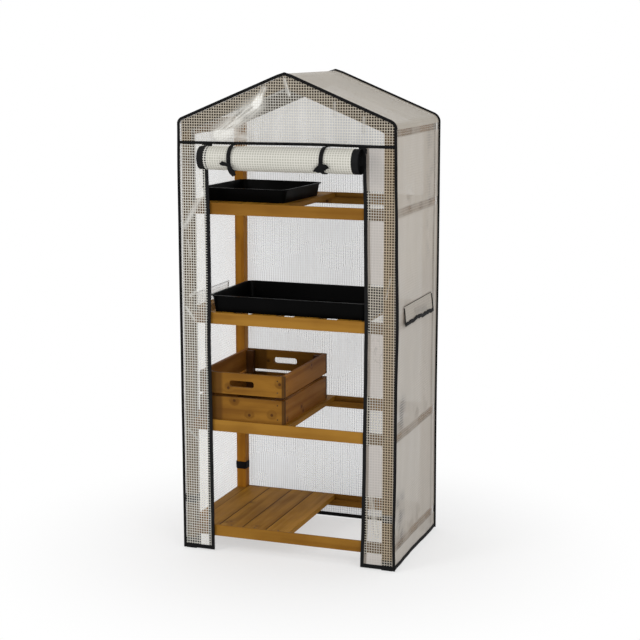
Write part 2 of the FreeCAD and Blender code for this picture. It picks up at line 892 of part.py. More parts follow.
export("zip_chains", [make_zip(sx) for _, sx in sides])

roll_edge = opening_half - roll_tape_width
export("door_hanging_sheet", hanging_sheet())
export("door_roll", wound_sheet(-roll_edge, roll_edge))
tapes = [wound_sheet(-opening_half, -roll_edge), wound_sheet(roll_edge, opening_half)]
export("door_roll_tapes", tapes)
export("door_ties", [joined([tie_band(x), tie_bow(x)]) for x in tie_places])
export("post_straps", [make_post_strap(sx, rear) for _, rear in ends for _, sx in sides])

roll_middle = roll_centre()
door_travel = roll_middle[1] - roll_radius - tie_thickness - 2 * hem_clearance
slider_travel = header_low() - slider_top_gap - pull_length - 2 * slider_height
print("front faces of the posts at y", front_face_y)
print("roll centre", roll_middle[0] + front_face_y, roll_middle[1], "door travel", door_travel)
print("slider travel", slider_travel)
print("vent hinge x", vent_hinge_x(), "z", vent_top_z, "ridge", ridge_z, "shelf tops", shelf_zs)
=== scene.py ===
# %% [markdown]
# # A wooden mini greenhouse with its film cover
# The timber frame, the crate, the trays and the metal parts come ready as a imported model. This lesson
# dresses that frame: it paints the rigid parts and sews the film cover, its bindings, the rolled door,
# the ties, the vents and the straps. Everything is in metres, with z up and the front towards -y.

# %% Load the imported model
import math
import random
from contextlib import contextmanager

import bpy
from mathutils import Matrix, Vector


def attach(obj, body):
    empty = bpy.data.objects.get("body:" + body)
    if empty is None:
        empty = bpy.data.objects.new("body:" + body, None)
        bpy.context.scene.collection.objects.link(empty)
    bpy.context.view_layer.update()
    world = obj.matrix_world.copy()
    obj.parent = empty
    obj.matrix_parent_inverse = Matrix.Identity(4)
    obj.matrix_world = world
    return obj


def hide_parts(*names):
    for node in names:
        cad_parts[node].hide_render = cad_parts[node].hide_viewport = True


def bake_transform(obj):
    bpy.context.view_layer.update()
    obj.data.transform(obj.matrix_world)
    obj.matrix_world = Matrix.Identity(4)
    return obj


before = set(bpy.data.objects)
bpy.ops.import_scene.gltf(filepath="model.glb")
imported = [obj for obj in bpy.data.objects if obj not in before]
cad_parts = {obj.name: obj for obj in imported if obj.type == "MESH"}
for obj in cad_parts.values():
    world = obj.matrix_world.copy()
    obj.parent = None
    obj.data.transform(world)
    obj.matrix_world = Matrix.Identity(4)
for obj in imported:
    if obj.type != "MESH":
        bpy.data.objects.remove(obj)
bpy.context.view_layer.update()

# %% [markdown]
# ## Where things are
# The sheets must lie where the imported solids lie, so the few measures they share are written down once:
# the film runs 6 mm outside the posts, the header seam carries the door, and the roof falls at 22.5
# degrees from the ridge.

# %% Shared measures
SIDES = ((-1, "left"), (1, "right"))
WALL = 0.3315                       # middle of the side films, left and right
FRONT, REAR = -0.1796, 0.2574       # middle of the front and rear films
BOTTOM, HEADER = 0.004, 1.229       # the lower hem, and the seam over the doorway
DOOR_TOP = 1.2255                   # where the doorway's edges end, under the header
RIDGE, SLOPE = 1.4307, math.radians(22.5)
EAVE = {-1: 0.018, 1: 0.026}        # radius of the soft corner between wall and roof
WINDOW_Y, WINDOW_Z = (-0.0911, 0.1799), (0.720, 0.757)
ROLL_Y, ROLL_Z, ROLL_R = -0.22063, 1.189, 0.037
SHELF_PITCH, LOWEST_RAIL = 0.3244, 0.0680
YARN_PITCH = 0.0077                 # spacing of the yarns inside the film


def smooth(low, high, x):
    """0 below low, 1 above high, and an even S between them"""
    t = min(1.0, max(0.0, (x - low) / (high - low)))
    return t * t * (3 - 2 * t)


def along(stops, z):
    """the value at height z on a soft line through (z, value) stops that rise in z"""
    if z <= stops[0][0]:
        return stops[0][1]
    for (z0, a), (z1, b) in zip(stops, stops[1:]):
        if z <= z1:
            return a + (b - a) * smooth(z0, z1, z)
    return stops[-1][1]


def steps(low, high, count):
    return [low + (high - low) * i / count for i in range(count + 1)]


def ripple(a, b, seed):
    """soft folds between about -1 and 1 that never repeat over a sheet, from a few waves that cross"""
    rng = random.Random(seed)
    total = 0.0
    for size in (0.62, 0.33, 0.19, 0.11):
        turn = rng.uniform(0, math.pi)
        phase = rng.uniform(0, 2 * math.pi)
        total += size * math.sin((a * math.cos(turn) + b * math.sin(turn)) * 2 * math.pi / size + phase)
    return total


# %% [markdown]
# ## The camera
# The photograph was taken from the right of the front, a little above the top shelf. The camera's place
# was fitted to edges of the timber, and a small vertical shift keeps the whole object in the frame.

# %% Camera
bpy.ops.object.select_all(action="DESELECT")
bpy.ops.object.camera_add(location=(1.5788, -4.2838, 1.5224),
                          rotation=(math.radians(90 - 9.134), 0.0, math.radians(19.738)))
camera = bpy.context.object
camera.name = "camera"
camera.data.sensor_width = 36.0
camera.data.lens = 86.86
camera.data.shift_y = -0.05
bpy.context.scene.camera = camera
bpy.context.scene.view_settings.view_transform = "Standard"
print("camera at", [round(v, 3) for v in camera.location], "with a lens of", camera.data.lens, "mm")

# %% [markdown]
# ## A small set of sewing tools
# A sheet of film starts as Blender's grid, cut along chosen lines, and each crossing is then laid in
# space by a rule. Its UV map keeps the flat cut in metres, so a woven pattern keeps its true size. A tape
# is a flat curve given width and thickness, then turned into a mesh, because a curve keeps its width
# round a corner where moved faces would pinch. A ribbon is a narrow sheet given thickness, for lines that
# leave their plane.

# %% Holding and editing
def let_go():
    """nothing selected, and out of edit mode"""
    if bpy.context.mode != "OBJECT":
        bpy.ops.object.mode_set(mode="OBJECT")
    bpy.ops.object.select_all(action="DESELECT")


def hold(piece):
    let_go()
    piece.select_set(True)
    bpy.context.view_layer.objects.active = piece


def settle(piece):
    """put a piece's place and turn into its mesh"""
    hold(piece)
    bpy.ops.object.transform_apply(location=True, rotation=True, scale=True)


@contextmanager
def editing(piece):
    """edit mode, with all of the piece selected"""
    hold(piece)
    bpy.ops.object.mode_set(mode="EDIT")
    bpy.ops.mesh.select_all(action="SELECT")
    yield
    bpy.ops.object.mode_set(mode="OBJECT")


def modify(piece, kind, **settings):
    """add a modifier and apply it"""
    hold(piece)
    modifier = piece.modifiers.new(kind.lower(), kind)
    for key, value in settings.items():
        setattr(modifier, key, value)
    bpy.ops.object.modifier_apply(modifier=modifier.name)


def drop_cut(piece):
    """forget the flat cut, where no pattern needs it"""
    while piece.data.uv_layers:
        piece.data.uv_layers.remove(piece.data.uv_layers[0])


def area_of(piece):
    return sum(face.area for face in piece.data.polygons)


# %% Sheets
def cloth(name, across, up, lay, cut=None):
    """a sheet cut along the lines across and up, laid by lay(a, b); cut(a, b) names the faces left out"""
    let_go()
    columns, rows = len(across) - 1, len(up) - 1
    bpy.ops.mesh.primitive_grid_add(x_subdivisions=columns, y_subdivisions=rows, size=2)
    sheet = bpy.context.object
    sheet.name = sheet.data.name = name
    flat = {}
    for v in sheet.data.vertices:
        i, j = round((v.co.x + 1) / 2 * columns), round((v.co.y + 1) / 2 * rows)
        flat[v.index] = (across[i], up[j])
    uv = sheet.data.uv_layers.active or sheet.data.uv_layers.new(name="flat")
    uv.name = "flat"
    for loop in sheet.data.loops:
        uv.data[loop.index].uv = flat[loop.vertex_index]
    if cut:
        bpy.ops.object.mode_set(mode="EDIT")
        bpy.ops.mesh.select_mode(type="FACE")
        bpy.ops.mesh.select_all(action="DESELECT")
        bpy.ops.object.mode_set(mode="OBJECT")
        for face in sheet.data.polygons:
            corners = [flat[i] for i in face.vertices]
            face.select = cut(*(sum(values) / len(corners) for values in zip(*corners)))
        keep = {tuple(round(c, 5) for c in v.co): flat[v.index] for v in sheet.data.vertices}
        bpy.ops.object.mode_set(mode="EDIT")
        bpy.ops.mesh.delete(type="FACE")
        bpy.ops.object.mode_set(mode="OBJECT")
        flat = {v.index: keep[tuple(round(c, 5) for c in v.co)] for v in sheet.data.vertices}
    for v in sheet.data.vertices:
        v.co = lay(*flat[v.index])
    sheet.data.update()
    hold(sheet)
    bpy.ops.object.shade_smooth()
    return sheet


def face_out(sheet, way):
    """turn a sheet's faces so that they look along way on the whole"""
    total = sum((face.normal * face.area for face in sheet.data.polygons), Vector())
    if total.dot(Vector(way)) < 0:
        with editing(sheet):
            bpy.ops.mesh.flip_normals()
    return sheet


# %% Tapes, ribbons and blocks
def tape(name, points, width, thickness, plane="xz", at=0.0, closed=False):
    """a tape that follows points in a plane, thickness across the line in it and width square to it"""
    let_go()
    curve = bpy.data.curves.new(name, "CURVE")
    curve.dimensions = "2D"
    curve.fill_mode = "NONE"
    curve.bevel_depth = thickness / 2
    curve.bevel_resolution = 2
    curve.extrude = max(width - thickness, 0.0) / 2
    line = curve.splines.new("POLY")
    line.points.add(len(points) - 1)
    for p, (a, b) in zip(line.points, points):
        p.co = (a, b, 0, 1)
    line.use_cyclic_u = closed
    piece = bpy.data.objects.new(name, curve)
    bpy.context.scene.collection.objects.link(piece)
    if plane == "xz":
        piece.rotation_euler, piece.location = (math.pi / 2, 0, 0), (0, at, 0)
    else:
        piece.location = (0, 0, at)
    hold(piece)
    bpy.ops.object.convert(target="MESH")
    piece = bpy.context.object
    piece.data.name = name
    piece.scale = (1.0, 1.0, width / max(width, thickness))
    settle(piece)
    with editing(piece):
        bpy.ops.mesh.remove_doubles(threshold=1e-6)
        bpy.ops.mesh.normals_make_consistent(inside=False)
    bpy.ops.object.shade_smooth_by_angle(angle=math.radians(50))
    return piece


def ribbon(name, points, width, side_way=(1, 0, 0), thickness=0.0011):
    """a flat ribbon along points in space, its width along side_way, with rounded edges; the width and
    the way may each be a list, one for each point"""
    count = len(points)
    widths = width if isinstance(width, list) else [width] * count
    ways = side_way if isinstance(side_way, list) else [side_way] * count
    across = [Vector(way).normalized() * w / 2 for way, w in zip(ways, widths)]
    strip = cloth(name, [-1, -0.5, 0.5, 1], list(range(count)),
                  lambda a, i: tuple(Vector(points[int(i)]) + across[int(i)] * a))
    modify(strip, "SOLIDIFY", thickness=thickness, offset=0.0)
    modify(strip, "BEVEL", width=thickness * 0.3, segments=1, limit_method="ANGLE",
           angle_limit=math.radians(60))
    drop_cut(strip)
    bpy.ops.object.shade_smooth_by_angle(angle=math.radians(60))
    return strip


def block(name, size, edge, segments, place=(0, 0, 0)):
    """a small block with bevelled edges"""
    let_go()
    bpy.ops.mesh.primitive_cube_add(size=1, location=place, scale=size)
    piece = bpy.context.object
    piece.name = name
    settle(piece)
    with editing(piece):
        bpy.ops.mesh.bevel(offset=edge, segments=segments)
    return piece


# %% Joining and dressing
def join(name, pieces):
    let_go()
    for piece in pieces:
        piece.select_set(True)
    bpy.context.view_layer.objects.active = pieces[0]
    bpy.ops.object.join()
    whole = bpy.context.object
    whole.name = whole.data.name = name
    return whole


def dress(piece, finish, body, slot, *nodes):
    """give a piece its finish, hang it on the body that carries it and hide the imported nodes it stands
    for; slot is not used
    """
    piece.data.materials.clear()
    piece.data.materials.append(finish)
    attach(piece, body)
    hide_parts(*nodes)
    print(piece.name, "faces", len(piece.data.polygons), "area", round(area_of(piece), 4))


# %% [markdown]
# ## Shader sums in Python
# A procedural finish is mostly arithmetic. The class below wraps one socket of a shader tree, so a mask
# can be written as `1 - mask * 0.5` and the Math nodes appear by themselves. Every other node comes from
# one method that sets the node's choices first and its sockets after.

# %% Shader values
class Value:
    def __init__(self, tree, socket):
        self.tree, self.socket = tree, socket

    def math(self, kind, a, b=0.0):
        return self.tree.node("ShaderNodeMath", {"operation": kind}, {0: a, 1: b})

    def __add__(self, other): return self.math("ADD", self, other)
    __radd__ = __add__
    def __sub__(self, other): return self.math("SUBTRACT", self, other)
    def __rsub__(self, other): return self.math("SUBTRACT", other, self)
    def __mul__(self, other): return self.math("MULTIPLY", self, other)
    __rmul__ = __mul__
    def __truediv__(self, other): return self.math("DIVIDE", self, other)
    def __pow__(self, other): return self.math("POWER", self, other)
    def __gt__(self, other): return self.math("GREATER_THAN", self, other)
    def __lt__(self, other): return self.math("LESS_THAN", self, other)
    def __abs__(self): return self.math("ABSOLUTE", self)
    def fract(self): return self.math("FRACT", self)
    def most(self, other): return self.math("MAXIMUM", self, other)
    def least(self, other): return self.math("MINIMUM", self, other)

    def between(self, low, high, out_low=0.0, out_high=1.0):
        """0 to 1, or out_low to out_high, smoothly as the value goes from low to high"""
        return self.tree.node("ShaderNodeMapRange", {"interpolation_type": "SMOOTHSTEP"},
                              {"Value": self, "From Min": low, "From Max": high,
                               "To Min": out_low, "To Max": out_high})


# %% Finishes
class Finish:
    """a material, or the world, whose nodes are added one call at a time"""

    def __init__(self, name, world=None):
        self.material = world or bpy.data.materials.new(name)
        self.material.use_nodes = True
        self.nodes, self.links = self.material.node_tree.nodes, self.material.node_tree.links
        self.nodes.clear()
        self.output = self.nodes.new("ShaderNodeOutputWorld" if world else "ShaderNodeOutputMaterial")

    def node(self, kind, settings=None, sockets=None, out=0):
        n = self.nodes.new(kind)
        for key, value in (settings or {}).items():
            setattr(n, key, value)
        for key, value in (sockets or {}).items():
            if isinstance(key, int):
                target = n.inputs[key]
            else:
                target = next(s for s in n.inputs if s.enabled and s.name == key)
            if isinstance(value, Value):
                self.links.new(value.socket, target)
            elif target.type == "RGBA" and len(value) == 3:
                target.default_value = (*value, 1.0)
            else:
                target.default_value = value
        if isinstance(out, str):
            return Value(self, next(s for s in n.outputs if s.enabled and s.name == out))
        return Value(self, n.outputs[out])

    def place(self):
        return self.node("ShaderNodeTexCoord", out="Object")

    def parts(self, vector):
        n = self.nodes.new("ShaderNodeSeparateXYZ")
        self.links.new(vector.socket, n.inputs[0])
        return [Value(self, s) for s in n.outputs]

    def xyz(self):
        """the place on the object, as three values"""
        return self.parts(self.place())

    def point(self, x, y, z):
        return self.node("ShaderNodeCombineXYZ", sockets={0: x, 1: y, 2: z})

    def stretched(self, vector, scale):
        return self.node("ShaderNodeVectorMath", {"operation": "MULTIPLY"}, {0: vector, 1: scale})

    def noise(self, vector, scale, detail=2.0, rough=0.5, twist=0.0):
        return self.node("ShaderNodeTexNoise", {"noise_dimensions": "3D"},
                         {"Vector": vector, "Scale": scale, "Detail": detail, "Roughness": rough,
                          "Distortion": twist})

    def tint(self, mask, a, b, how="MIX"):
        return self.node("ShaderNodeMix", {"data_type": "RGBA", "blend_type": how},
                         {"Factor": mask, "A": a, "B": b}, out="Result")

    def bump(self, height, strength, distance):
        return self.node("ShaderNodeBump", {}, {"Strength": strength, "Distance": distance,
                                                "Height": height})

    def seen_directly(self):
        """1 for rays from the camera, a mirror or a clear sheet, 0 for the light that falls on things"""
        rays = [self.node("ShaderNodeLightPath", out=kind)
                for kind in ("Is Camera Ray", "Is Glossy Ray", "Is Transmission Ray")]
        return rays[0].most(rays[1]).most(rays[2])

    def close(self, surface):
        self.links.new(surface.socket, self.output.inputs[0])
        return self.material

    def skin(self, **sockets):
        names = {key.replace("_", " "): value for key, value in sockets.items()}
        return self.close(self.node("ShaderNodeBsdfPrincipled", {}, names))


def shade(r, g, b):
    """a colour seen as 0-255 on a screen, as the shader needs it"""
    return tuple((c / 255 / 12.92) if c <= 10.3 else ((c / 255 + 0.055) / 1.055) ** 2.4 for c in (r, g, b))


def times(colour, *factors):
    """a colour darkened or lightened by one factor, or by one for each channel"""
    return tuple(min(1.0, c * k) for c, k in zip(colour, factors * (3 // len(factors))))


# %% [markdown]
# ## Stained timber
# The frame is planed pine under a honey-brown stain. Growth rings show as long streaks along each board,
# so noise is stretched along the grain. A board gets its own tone from a random number for its place, and
# a few knots darken it. The same recipe serves every board, with the grain turned to run along it.

# %% Timber finish
def timber(name, grain, colours, board, offset, knots=0.30, face="side", pick=0.0, knot_depth=0.8,
           joint=0.0, shaded_ends=None, end_grain=None):
    """wood with its grain along x, y, z or the roof slope; board and offset are the box that holds one
    board and where its corner lies, and pick chooses other luck for their tones and knots"""
    f = Finish(name)
    light, dark = colours
    x, y, z = f.xyz()
    if grain == "slope":
        run = abs(x) * math.cos(SLOPE) - z * math.sin(SLOPE)
        side, rise = y, abs(x) * math.sin(SLOPE) + z * math.cos(SLOPE)
    else:
        run, side, rise = {"x": (x, y, z), "y": (y, x, z), "z": (z, x, y)}[grain]
    cell = f.node("ShaderNodeVectorMath", {"operation": "SNAP"},
                  {0: f.point(x + offset[0], y + offset[1], z + offset[2]), 1: board})
    luck = f.node("ShaderNodeTexWhiteNoise", {"noise_dimensions": "4D"}, {"Vector": cell, "W": pick},
                  out="Value")

    broad = side if face == "side" else rise            # across the board's wide face
    where = f.point(run + luck * 5.0, broad + luck * 3.0, luck)
    spots, chosen = (f.node("ShaderNodeTexVoronoi", {"feature": "F1", "voronoi_dimensions": "2D"},
                            {"Vector": where, "Scale": 15.0}, out=kind) for kind in ("Distance", "Color"))
    has_knot = f.parts(chosen)[0] < knots
    round_knot = spots.between(0.30, 0.06) * has_knot

    line = f.point(run, side + luck * 3.0, rise + luck * 1.7)
    sway = f.noise(f.stretched(line, (2.2, 9.0, 9.0)), 1.0) - 0.5 + round_knot * 0.8
    swayed = f.point(run, side + sway * 0.022 + luck, rise + sway * 0.022)
    rings = f.noise(f.stretched(swayed, (1.3, 46.0, 46.0)), 1.0)
    fibres = f.noise(f.stretched(line, (16.0, 520.0, 520.0)), 1.0)
    cloud = f.noise(f.stretched(line, (6.0, 15.0, 15.0)), 1.0, 3.0)
    depth = (rings.between(0.34, 0.70) * 0.34 + fibres * 0.12 + cloud.between(0.3, 0.72) * 0.34
             + (luck - 0.5) * 0.36 + 0.14)

    colour = f.tint(depth.between(0.0, 1.0), light, dark)
    colour = f.tint(round_knot * 0.35, colour, times(dark, 0.55))
    colour = f.tint(spots.between(0.085, 0.050) * has_knot * knot_depth, colour,
                    times(dark, 0.32, 0.24, 0.20))
    if joint:                               # stain and shade gather in the joints on the left half
        edge = (0.5 - abs(((x + offset[0]) / board[0]).fract() - 0.5)) * board[0]
        colour = f.tint(edge.between(joint, joint * 0.4) * (x < 0.001) * 0.8, colour, times(dark, 0.22))
    if shaded_ends:                              # painted shadow: board ends in the shade of the front film and posts are darkened
        colour = f.tint(abs(x).between(*shaded_ends) * 0.82, colour, times(dark, 0.58))
    if end_grain:                           # the last few millimetres, where the saw left dark end grain
        low, high = end_grain
        colour = f.tint((x < low).most(x > high) * 0.9, colour, times(dark, 0.40))
    surface = fibres * 0.6 + rings * 0.4
    return f.skin(Base_Color=colour, Roughness=surface.between(0.2, 0.8, 0.52, 0.70),
                  Specular_IOR_Level=0.14, Normal=f.bump(surface, 0.25, 0.0008))


# %% Every wood
honey = shade(158, 113, 40), shade(122, 80, 18)
slat = shade(182, 130, 40), shade(134, 90, 16)
crate = shade(150, 104, 32), shade(108, 68, 14)
WIDE = 10.0                                 # a board's box is this long where nothing divides it
CRATE_BOARD = 0.0815                        # from a lower crate board to the one above
# Painted shadow darkens the rails' ends, where the front panels shade them.
timber_x = timber("stained_timber_across", "x", honey, (WIDE, 0.2, SHELF_PITCH), (5.0, 0.10, -0.02),
                  face="rise", shaded_ends=(0.236, 0.262))
timber_y = timber("stained_timber_deep", "y", slat, (0.075, WIDE, SHELF_PITCH), (0.2945, 5.0, -0.02),
                  knots=0.22, joint=0.0030, pick=11.25, knot_depth=0.5)
timber_spread = timber("stained_timber_spread", "y", slat, (0.1328, WIDE, SHELF_PITCH),
                       (0.2462, 5.0, -0.02), knots=0.22, knot_depth=0.5)
timber_side = timber("stained_timber_side", "y", honey, (0.65, WIDE, SHELF_PITCH), (0.65, 5.0, -0.02),
                     face="rise")
timber_z = timber("stained_timber_upright", "z", (shade(188, 127, 32), shade(142, 88, 12)),
                  (0.3, 0.2, 9.0), (0.15, 0.10, 4.0), knots=0.2)
# Painted shade: the front posts stand behind film and get a darker copy of the stain, for the light the
# film keeps from them.
timber_front_shaded = timber("stained_timber_front_post", "z", (shade(110, 83, 44), shade(76, 57, 28)),
                      (0.3, 0.2, 9.0), (0.15, 0.10, 4.0), knots=0.2)
# Painted shade: the rafters, seen only through the gable and rear films, get a much darker copy of the
# stain.
timber_slope_shaded = timber("stained_timber_rafter_shaded", "slope", (shade(62, 49, 31), shade(44, 34, 20)),
                      (1.0, 0.2, 9.0), (0.0, 0.10, 4.0), face="rise")
# Painted shadow darkens the crate boards' left end, where the left front panel and post shade it.
crate_x = timber("crate_wood_across", "x", crate, (1.0, 0.18, CRATE_BOARD), (0, 0.10, 0.0846),
                 knots=0.55, face="rise", pick=932.75, shaded_ends=(0.201, 0.213), end_grain=(-0.2715, -0.0175))
# Painted light: the crate's side boards get a lighter copy of the crate stain, for the light that falls on
# its right side.
crate_y_lit = timber("crate_wood_deep_lit", "y", (shade(166, 110, 40), shade(122, 74, 20)),
                 (0.13, 1.0, CRATE_BOARD), (0.30, 0.30, 0.0846), knots=0.25, face="rise", pick=737.25)
# Painted shade: the corner battens get a darker stain for the shade in the crate's corners.
crate_z_shaded = timber("crate_wood_upright_shaded", "z", (shade(106, 68, 34), shade(76, 46, 20)), (0.1, 0.2, 1.0),
                 (5.0, 0.10, -0.02))
dowel_finish = timber("dowel_wood", "y", (shade(205, 170, 115), shade(170, 130, 80)),
                      (WIDE, 0.2, SHELF_PITCH), (5.0, 0.10, -0.02), knots=0.0)
print("wood finishes:", len(bpy.data.materials))

# %% [markdown]
# ## Moulded plastic and metal
# The planting trays are black polypropylene with a fine mould grain, and the foot caps a slightly softer
# black. Screws are dulled steel, nail heads have browned, and the zip sliders are black-coated metal with
# bright worn edges.

# %% Plastic and metal finishes
def moulded(name, colour, rough, grain):
    f = Finish(name)
    place = f.place()
    fine, wide = f.noise(place, grain, 3.0), f.noise(place, 14.0, 3.0)
    tone = f.tint(wide.between(0.3, 0.7), times(colour, 0.8), times(colour, 1.35))
    dull = (fine * 0.3 + wide * 0.7).between(0.3, 0.7, rough - 0.07, rough + 0.09)
    return f.skin(Base_Color=tone, Roughness=dull, Specular_IOR_Level=0.035,
                  Normal=f.bump(fine, 0.12, 0.0004))


def metal(name, colour, rough, bare=None):
    f = Finish(name)
    marks = f.noise(f.place(), 260.0, 4.0)
    tone = f.tint(marks.between(0.58, 0.72), colour, bare or times(colour, 0.8))
    return f.skin(Base_Color=tone, Metallic=1.0, Normal=f.bump(marks, 0.1, 0.0002),
                  Roughness=marks.between(0.2, 0.8, rough - 0.08, rough + 0.12))


tray_finish = moulded("tray_plastic", shade(4, 4, 4), 0.40, 900.0)
foot_finish = moulded("foot_plastic", shade(24, 24, 25), 0.55, 700.0)
screw_finish = metal("dull_steel", shade(112, 104, 92), 0.42)
nail_finish = metal("browned_nail", shade(70, 54, 38), 0.50, shade(104, 92, 78))
slider_finish = metal("zip_metal", shade(38, 38, 40), 0.38, shade(120, 120, 122))

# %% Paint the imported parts
levels = (1, 2, 3, 4)
paint = {
    timber_x: [f"{end}_rail_{n}" for end in ("front", "rear") for n in levels],
    timber_side: [f"side_rails_{n}" for n in levels] + ["eave_rails", "ridge_beam"],
    timber_y: ["shelf_slats_1", "shelf_slats_2", "shelf_slats_4"],
    timber_spread: ["shelf_slats_3"],
    timber_z: ["post_rear_left", "post_rear_right"],
    timber_front_shaded: ["post_front_left", "post_front_right"],
    timber_slope_shaded: ["front_rafters", "rear_rafters"],
    crate_x: ["crate_front_boards", "crate_rear_boards", "crate_base_slats"],
    crate_y_lit: ["crate_side_boards"],
    crate_z_shaded: ["crate_corner_battens"],
    dowel_finish: ["roof_dowels"],
    tray_finish: ["large_tray", "small_tray"],
    foot_finish: ["foot_caps"],
    screw_finish: ["frame_screws"],
    nail_finish: ["slat_nails", "crate_nails"],
    slider_finish: ["zip_slider_left", "zip_slider_right"],
}
for finish, names in paint.items():
    for name in names:
        for material_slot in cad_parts[name].material_slots:
            material_slot.material = finish
print("painted", sum(len(names) for names in paint.values()), "packed parts")

# %% [markdown]
# ## Film over a net
# The cover is clear film pressed over a net of white yarns. The yarns are drawn from the flat cut in
# metres, so they keep their spacing on every panel. They are thick and pale, the film between them is
# thinner and lets the timber show through, which gives the dark dots of the photograph. Wrinkles come
# from broad noise in the bump, and make the soft streaks of light. A shader can only make a point clear
# or solid, so what real film blurs or tints, such as timber close behind it, is painted by its place.

# %% Film finish
def film(name, pane, yarn, pane_solid, yarn_solid, rough=0.30, crumple=0.5, wrinkle_shading=0.30, at_place=False,
         yarn_half=0.0010, weft=1.0, glare_creases=(), wrinkle_shadows=(), lies_on=None, clear_of=0.0, behind=None,
         over_black_or_shade=None, against_light=None, shaded=None, lit=None, taped=None):
    """clear film over a net. pane and yarn are the colours of the film and the yarns, pane_solid and
    yarn_solid how milky each is, from 0 to 1, and weft how much the yarns that run across count.
    glare_creases and wrinkle_shadows are streaks on the flat cut: start, end, width and strength; the
    first paint highlight along folds, the second paint shade along wrinkles.
    These are rules that take the finish and give a mask, some with what they do there:
    lies_on, where the film touches timber, clear_of being how milky it is elsewhere; behind, where
    timber close behind colours the yarns; over_black_or_shade, where black shows through or painted shade
    goes; against_light, where the ground behind is bright. shaded and lit change the tone along the cut
    and up the height, and taped says how far to the left black tape lies behind. at_place draws the net in
    the room, not on the cut, for a sheet that lengthens."""
    f = Finish(name)
    if at_place:
        u, _, v = f.xyz()
    else:
        u, v, _ = f.parts(f.node("ShaderNodeUVMap", {"uv_map": "flat"}))
    flat = f.point(u, v, 0.0)
    shift = f.noise(flat, 7.0, 1.0) - 0.5
    warp, across = (
        (abs(((way + shift * 0.0016) / YARN_PITCH).fract() - 0.5) * YARN_PITCH)
        .between(yarn_half * 1.30, yarn_half * 0.70) for way in (u, v))
    yarns = warp.most(across * weft)
    haze = f.noise(flat, 5.0, 3.0)
    milk = haze.between(0.45, 0.80) * 0.07

    def streak(start, end, width, strength):
        """a streak between two points of the flat cut, with fine threads that run along it"""
        (ax, ay), (bx, by) = start, end
        length = math.hypot(bx - ax, by - ay)
        dx, dy = (bx - ax) / length, (by - ay) / length
        run, aside = (u - ax) * dx + (v - ay) * dy, (u - ax) * dy - (v - ay) * dx
        threads = f.noise(f.point(run * 16.0, aside * 130.0, ax), 1.0)
        beyond = run - run.most(0.0).least(length)
        off = (aside * aside + beyond * beyond) ** 0.5 + (threads - 0.5) * width * 1.1
        return off.between(width, width * 0.2) * threads.between(0.30, 0.62, 0.45, 1.0) * strength

    tone = f.tint(haze.between(0.3, 0.7), times(pane, 0.93), times(pane, 1.06))
    if glare_creases:                             # painted highlight: the folds are painted near white and made milkier, and the net hardly shows there
        white, *others = [streak(*crease) for crease in glare_creases]
        for other in others:
            white = white + other
        white = white.least(1.0)
        tone = f.tint(white, tone, shade(242, 241, 236))
        yarns = yarns * (1 - white * 0.5)
        milk = milk + white
    pane_alpha = milk + pane_solid + (haze - 0.5) * 0.05
    if shaded:                              # the side turned from the light is duller
        low, high, dull, solid = shaded
        tone = f.tint(u.between(low, high) * (1 - milk.least(1.0)), tone, dull)
        pane_alpha = pane_alpha + u.between(low, high) * solid
    if over_black_or_shade:
        # painted black where black parts stand behind, and painted shade where the film is crumpled
        black = over_black_or_shade(f)
        tone = f.tint(black, tone, shade(14, 18, 26))
        pane_alpha = pane_alpha.most(black * 0.55)
    if against_light:                       # net and film look alike against a bright ground
        rule, bright, solid = against_light
        ground = rule(f)
        tone = f.tint(ground, tone, bright)
        pane_alpha = pane_alpha + ground * (solid - pane_solid)
        yarns = yarns * (1 - ground * 0.8)
    yarn_alpha = yarn_solid
    if lies_on:
        off_timber = 1 - lies_on(f)
        pane_alpha = pane_alpha + off_timber * (clear_of - pane_solid)
        yarn_alpha = (off_timber * (clear_of - yarn_solid) + yarn_solid).most(yarn_solid)
    pane_alpha = pane_alpha.most(0.02).least(1.0)
    if taped:
        tape_behind = u < -taped
        tone = f.tint(tape_behind, tone, shade(14, 14, 15))
        pane_alpha = pane_alpha.most(tape_behind)
    if behind:
        rule, warmth = behind
        yarn = f.tint(rule(f), yarn, times(yarn, *warmth))
    tone = f.tint(yarns, tone, yarn)
    # painted shade: dark streaks along the wrinkles
    for wrinkle_shadow in wrinkle_shadows:
        tone = f.tint(streak(*wrinkle_shadow), tone, shade(34, 32, 30))
    if lit:
        low, high, gain = lit
        tone = f.tint(f.xyz()[2].between(low, high), tone, gain, "MULTIPLY")
    wrinkle = f.noise(f.stretched(flat, (1.0, 0.55, 1.0)), 21.0, 2.0, 0.5, 1.2)
    # painted shade: the fine wrinkle lines are painted darker
    wrinkle_shade = abs(wrinkle - 0.5).between(0.012, 0.0) * haze.between(0.50, 0.66)
    tone = f.tint(wrinkle_shade * wrinkle_shading, tone, times(pane, 0.45))
    folds = f.noise(f.stretched(flat, (1.0, 0.45, 1.0)), 16.0, 3.0, 0.5, 0.6)
    height = folds * crumple * 6.0 + yarns * 0.25 + milk * 2.0 + wrinkle_shade * 0.6
    return f.skin(Base_Color=tone, Alpha=yarns * (yarn_alpha - pane_alpha) + pane_alpha,
                  Roughness=yarns.between(0.0, 1.0, rough, rough + 0.25), Specular_IOR_Level=0.4,
                  Normal=f.bump(height, 0.5, 0.0012))


# %% [markdown]
# ## What lies behind the film
# These rules say, point by point, what the film touches or covers. A rail, a post and a rafter are bands
# with soft edges at the frame's own measures. The front posts and the rear rail are shown where they
# stand when seen from the photograph's side.

# %% Rules for the side walls and the roof
POSTS_Y, RAFTERS_Y = (-0.170, 0.213), (-0.166, 0.224)   # front and rear, where the film touches them
EAVE_RAIL_Z, VENT_RAIL_Z = 1.2695, 0.712                # the second is hidden by the vent's flap


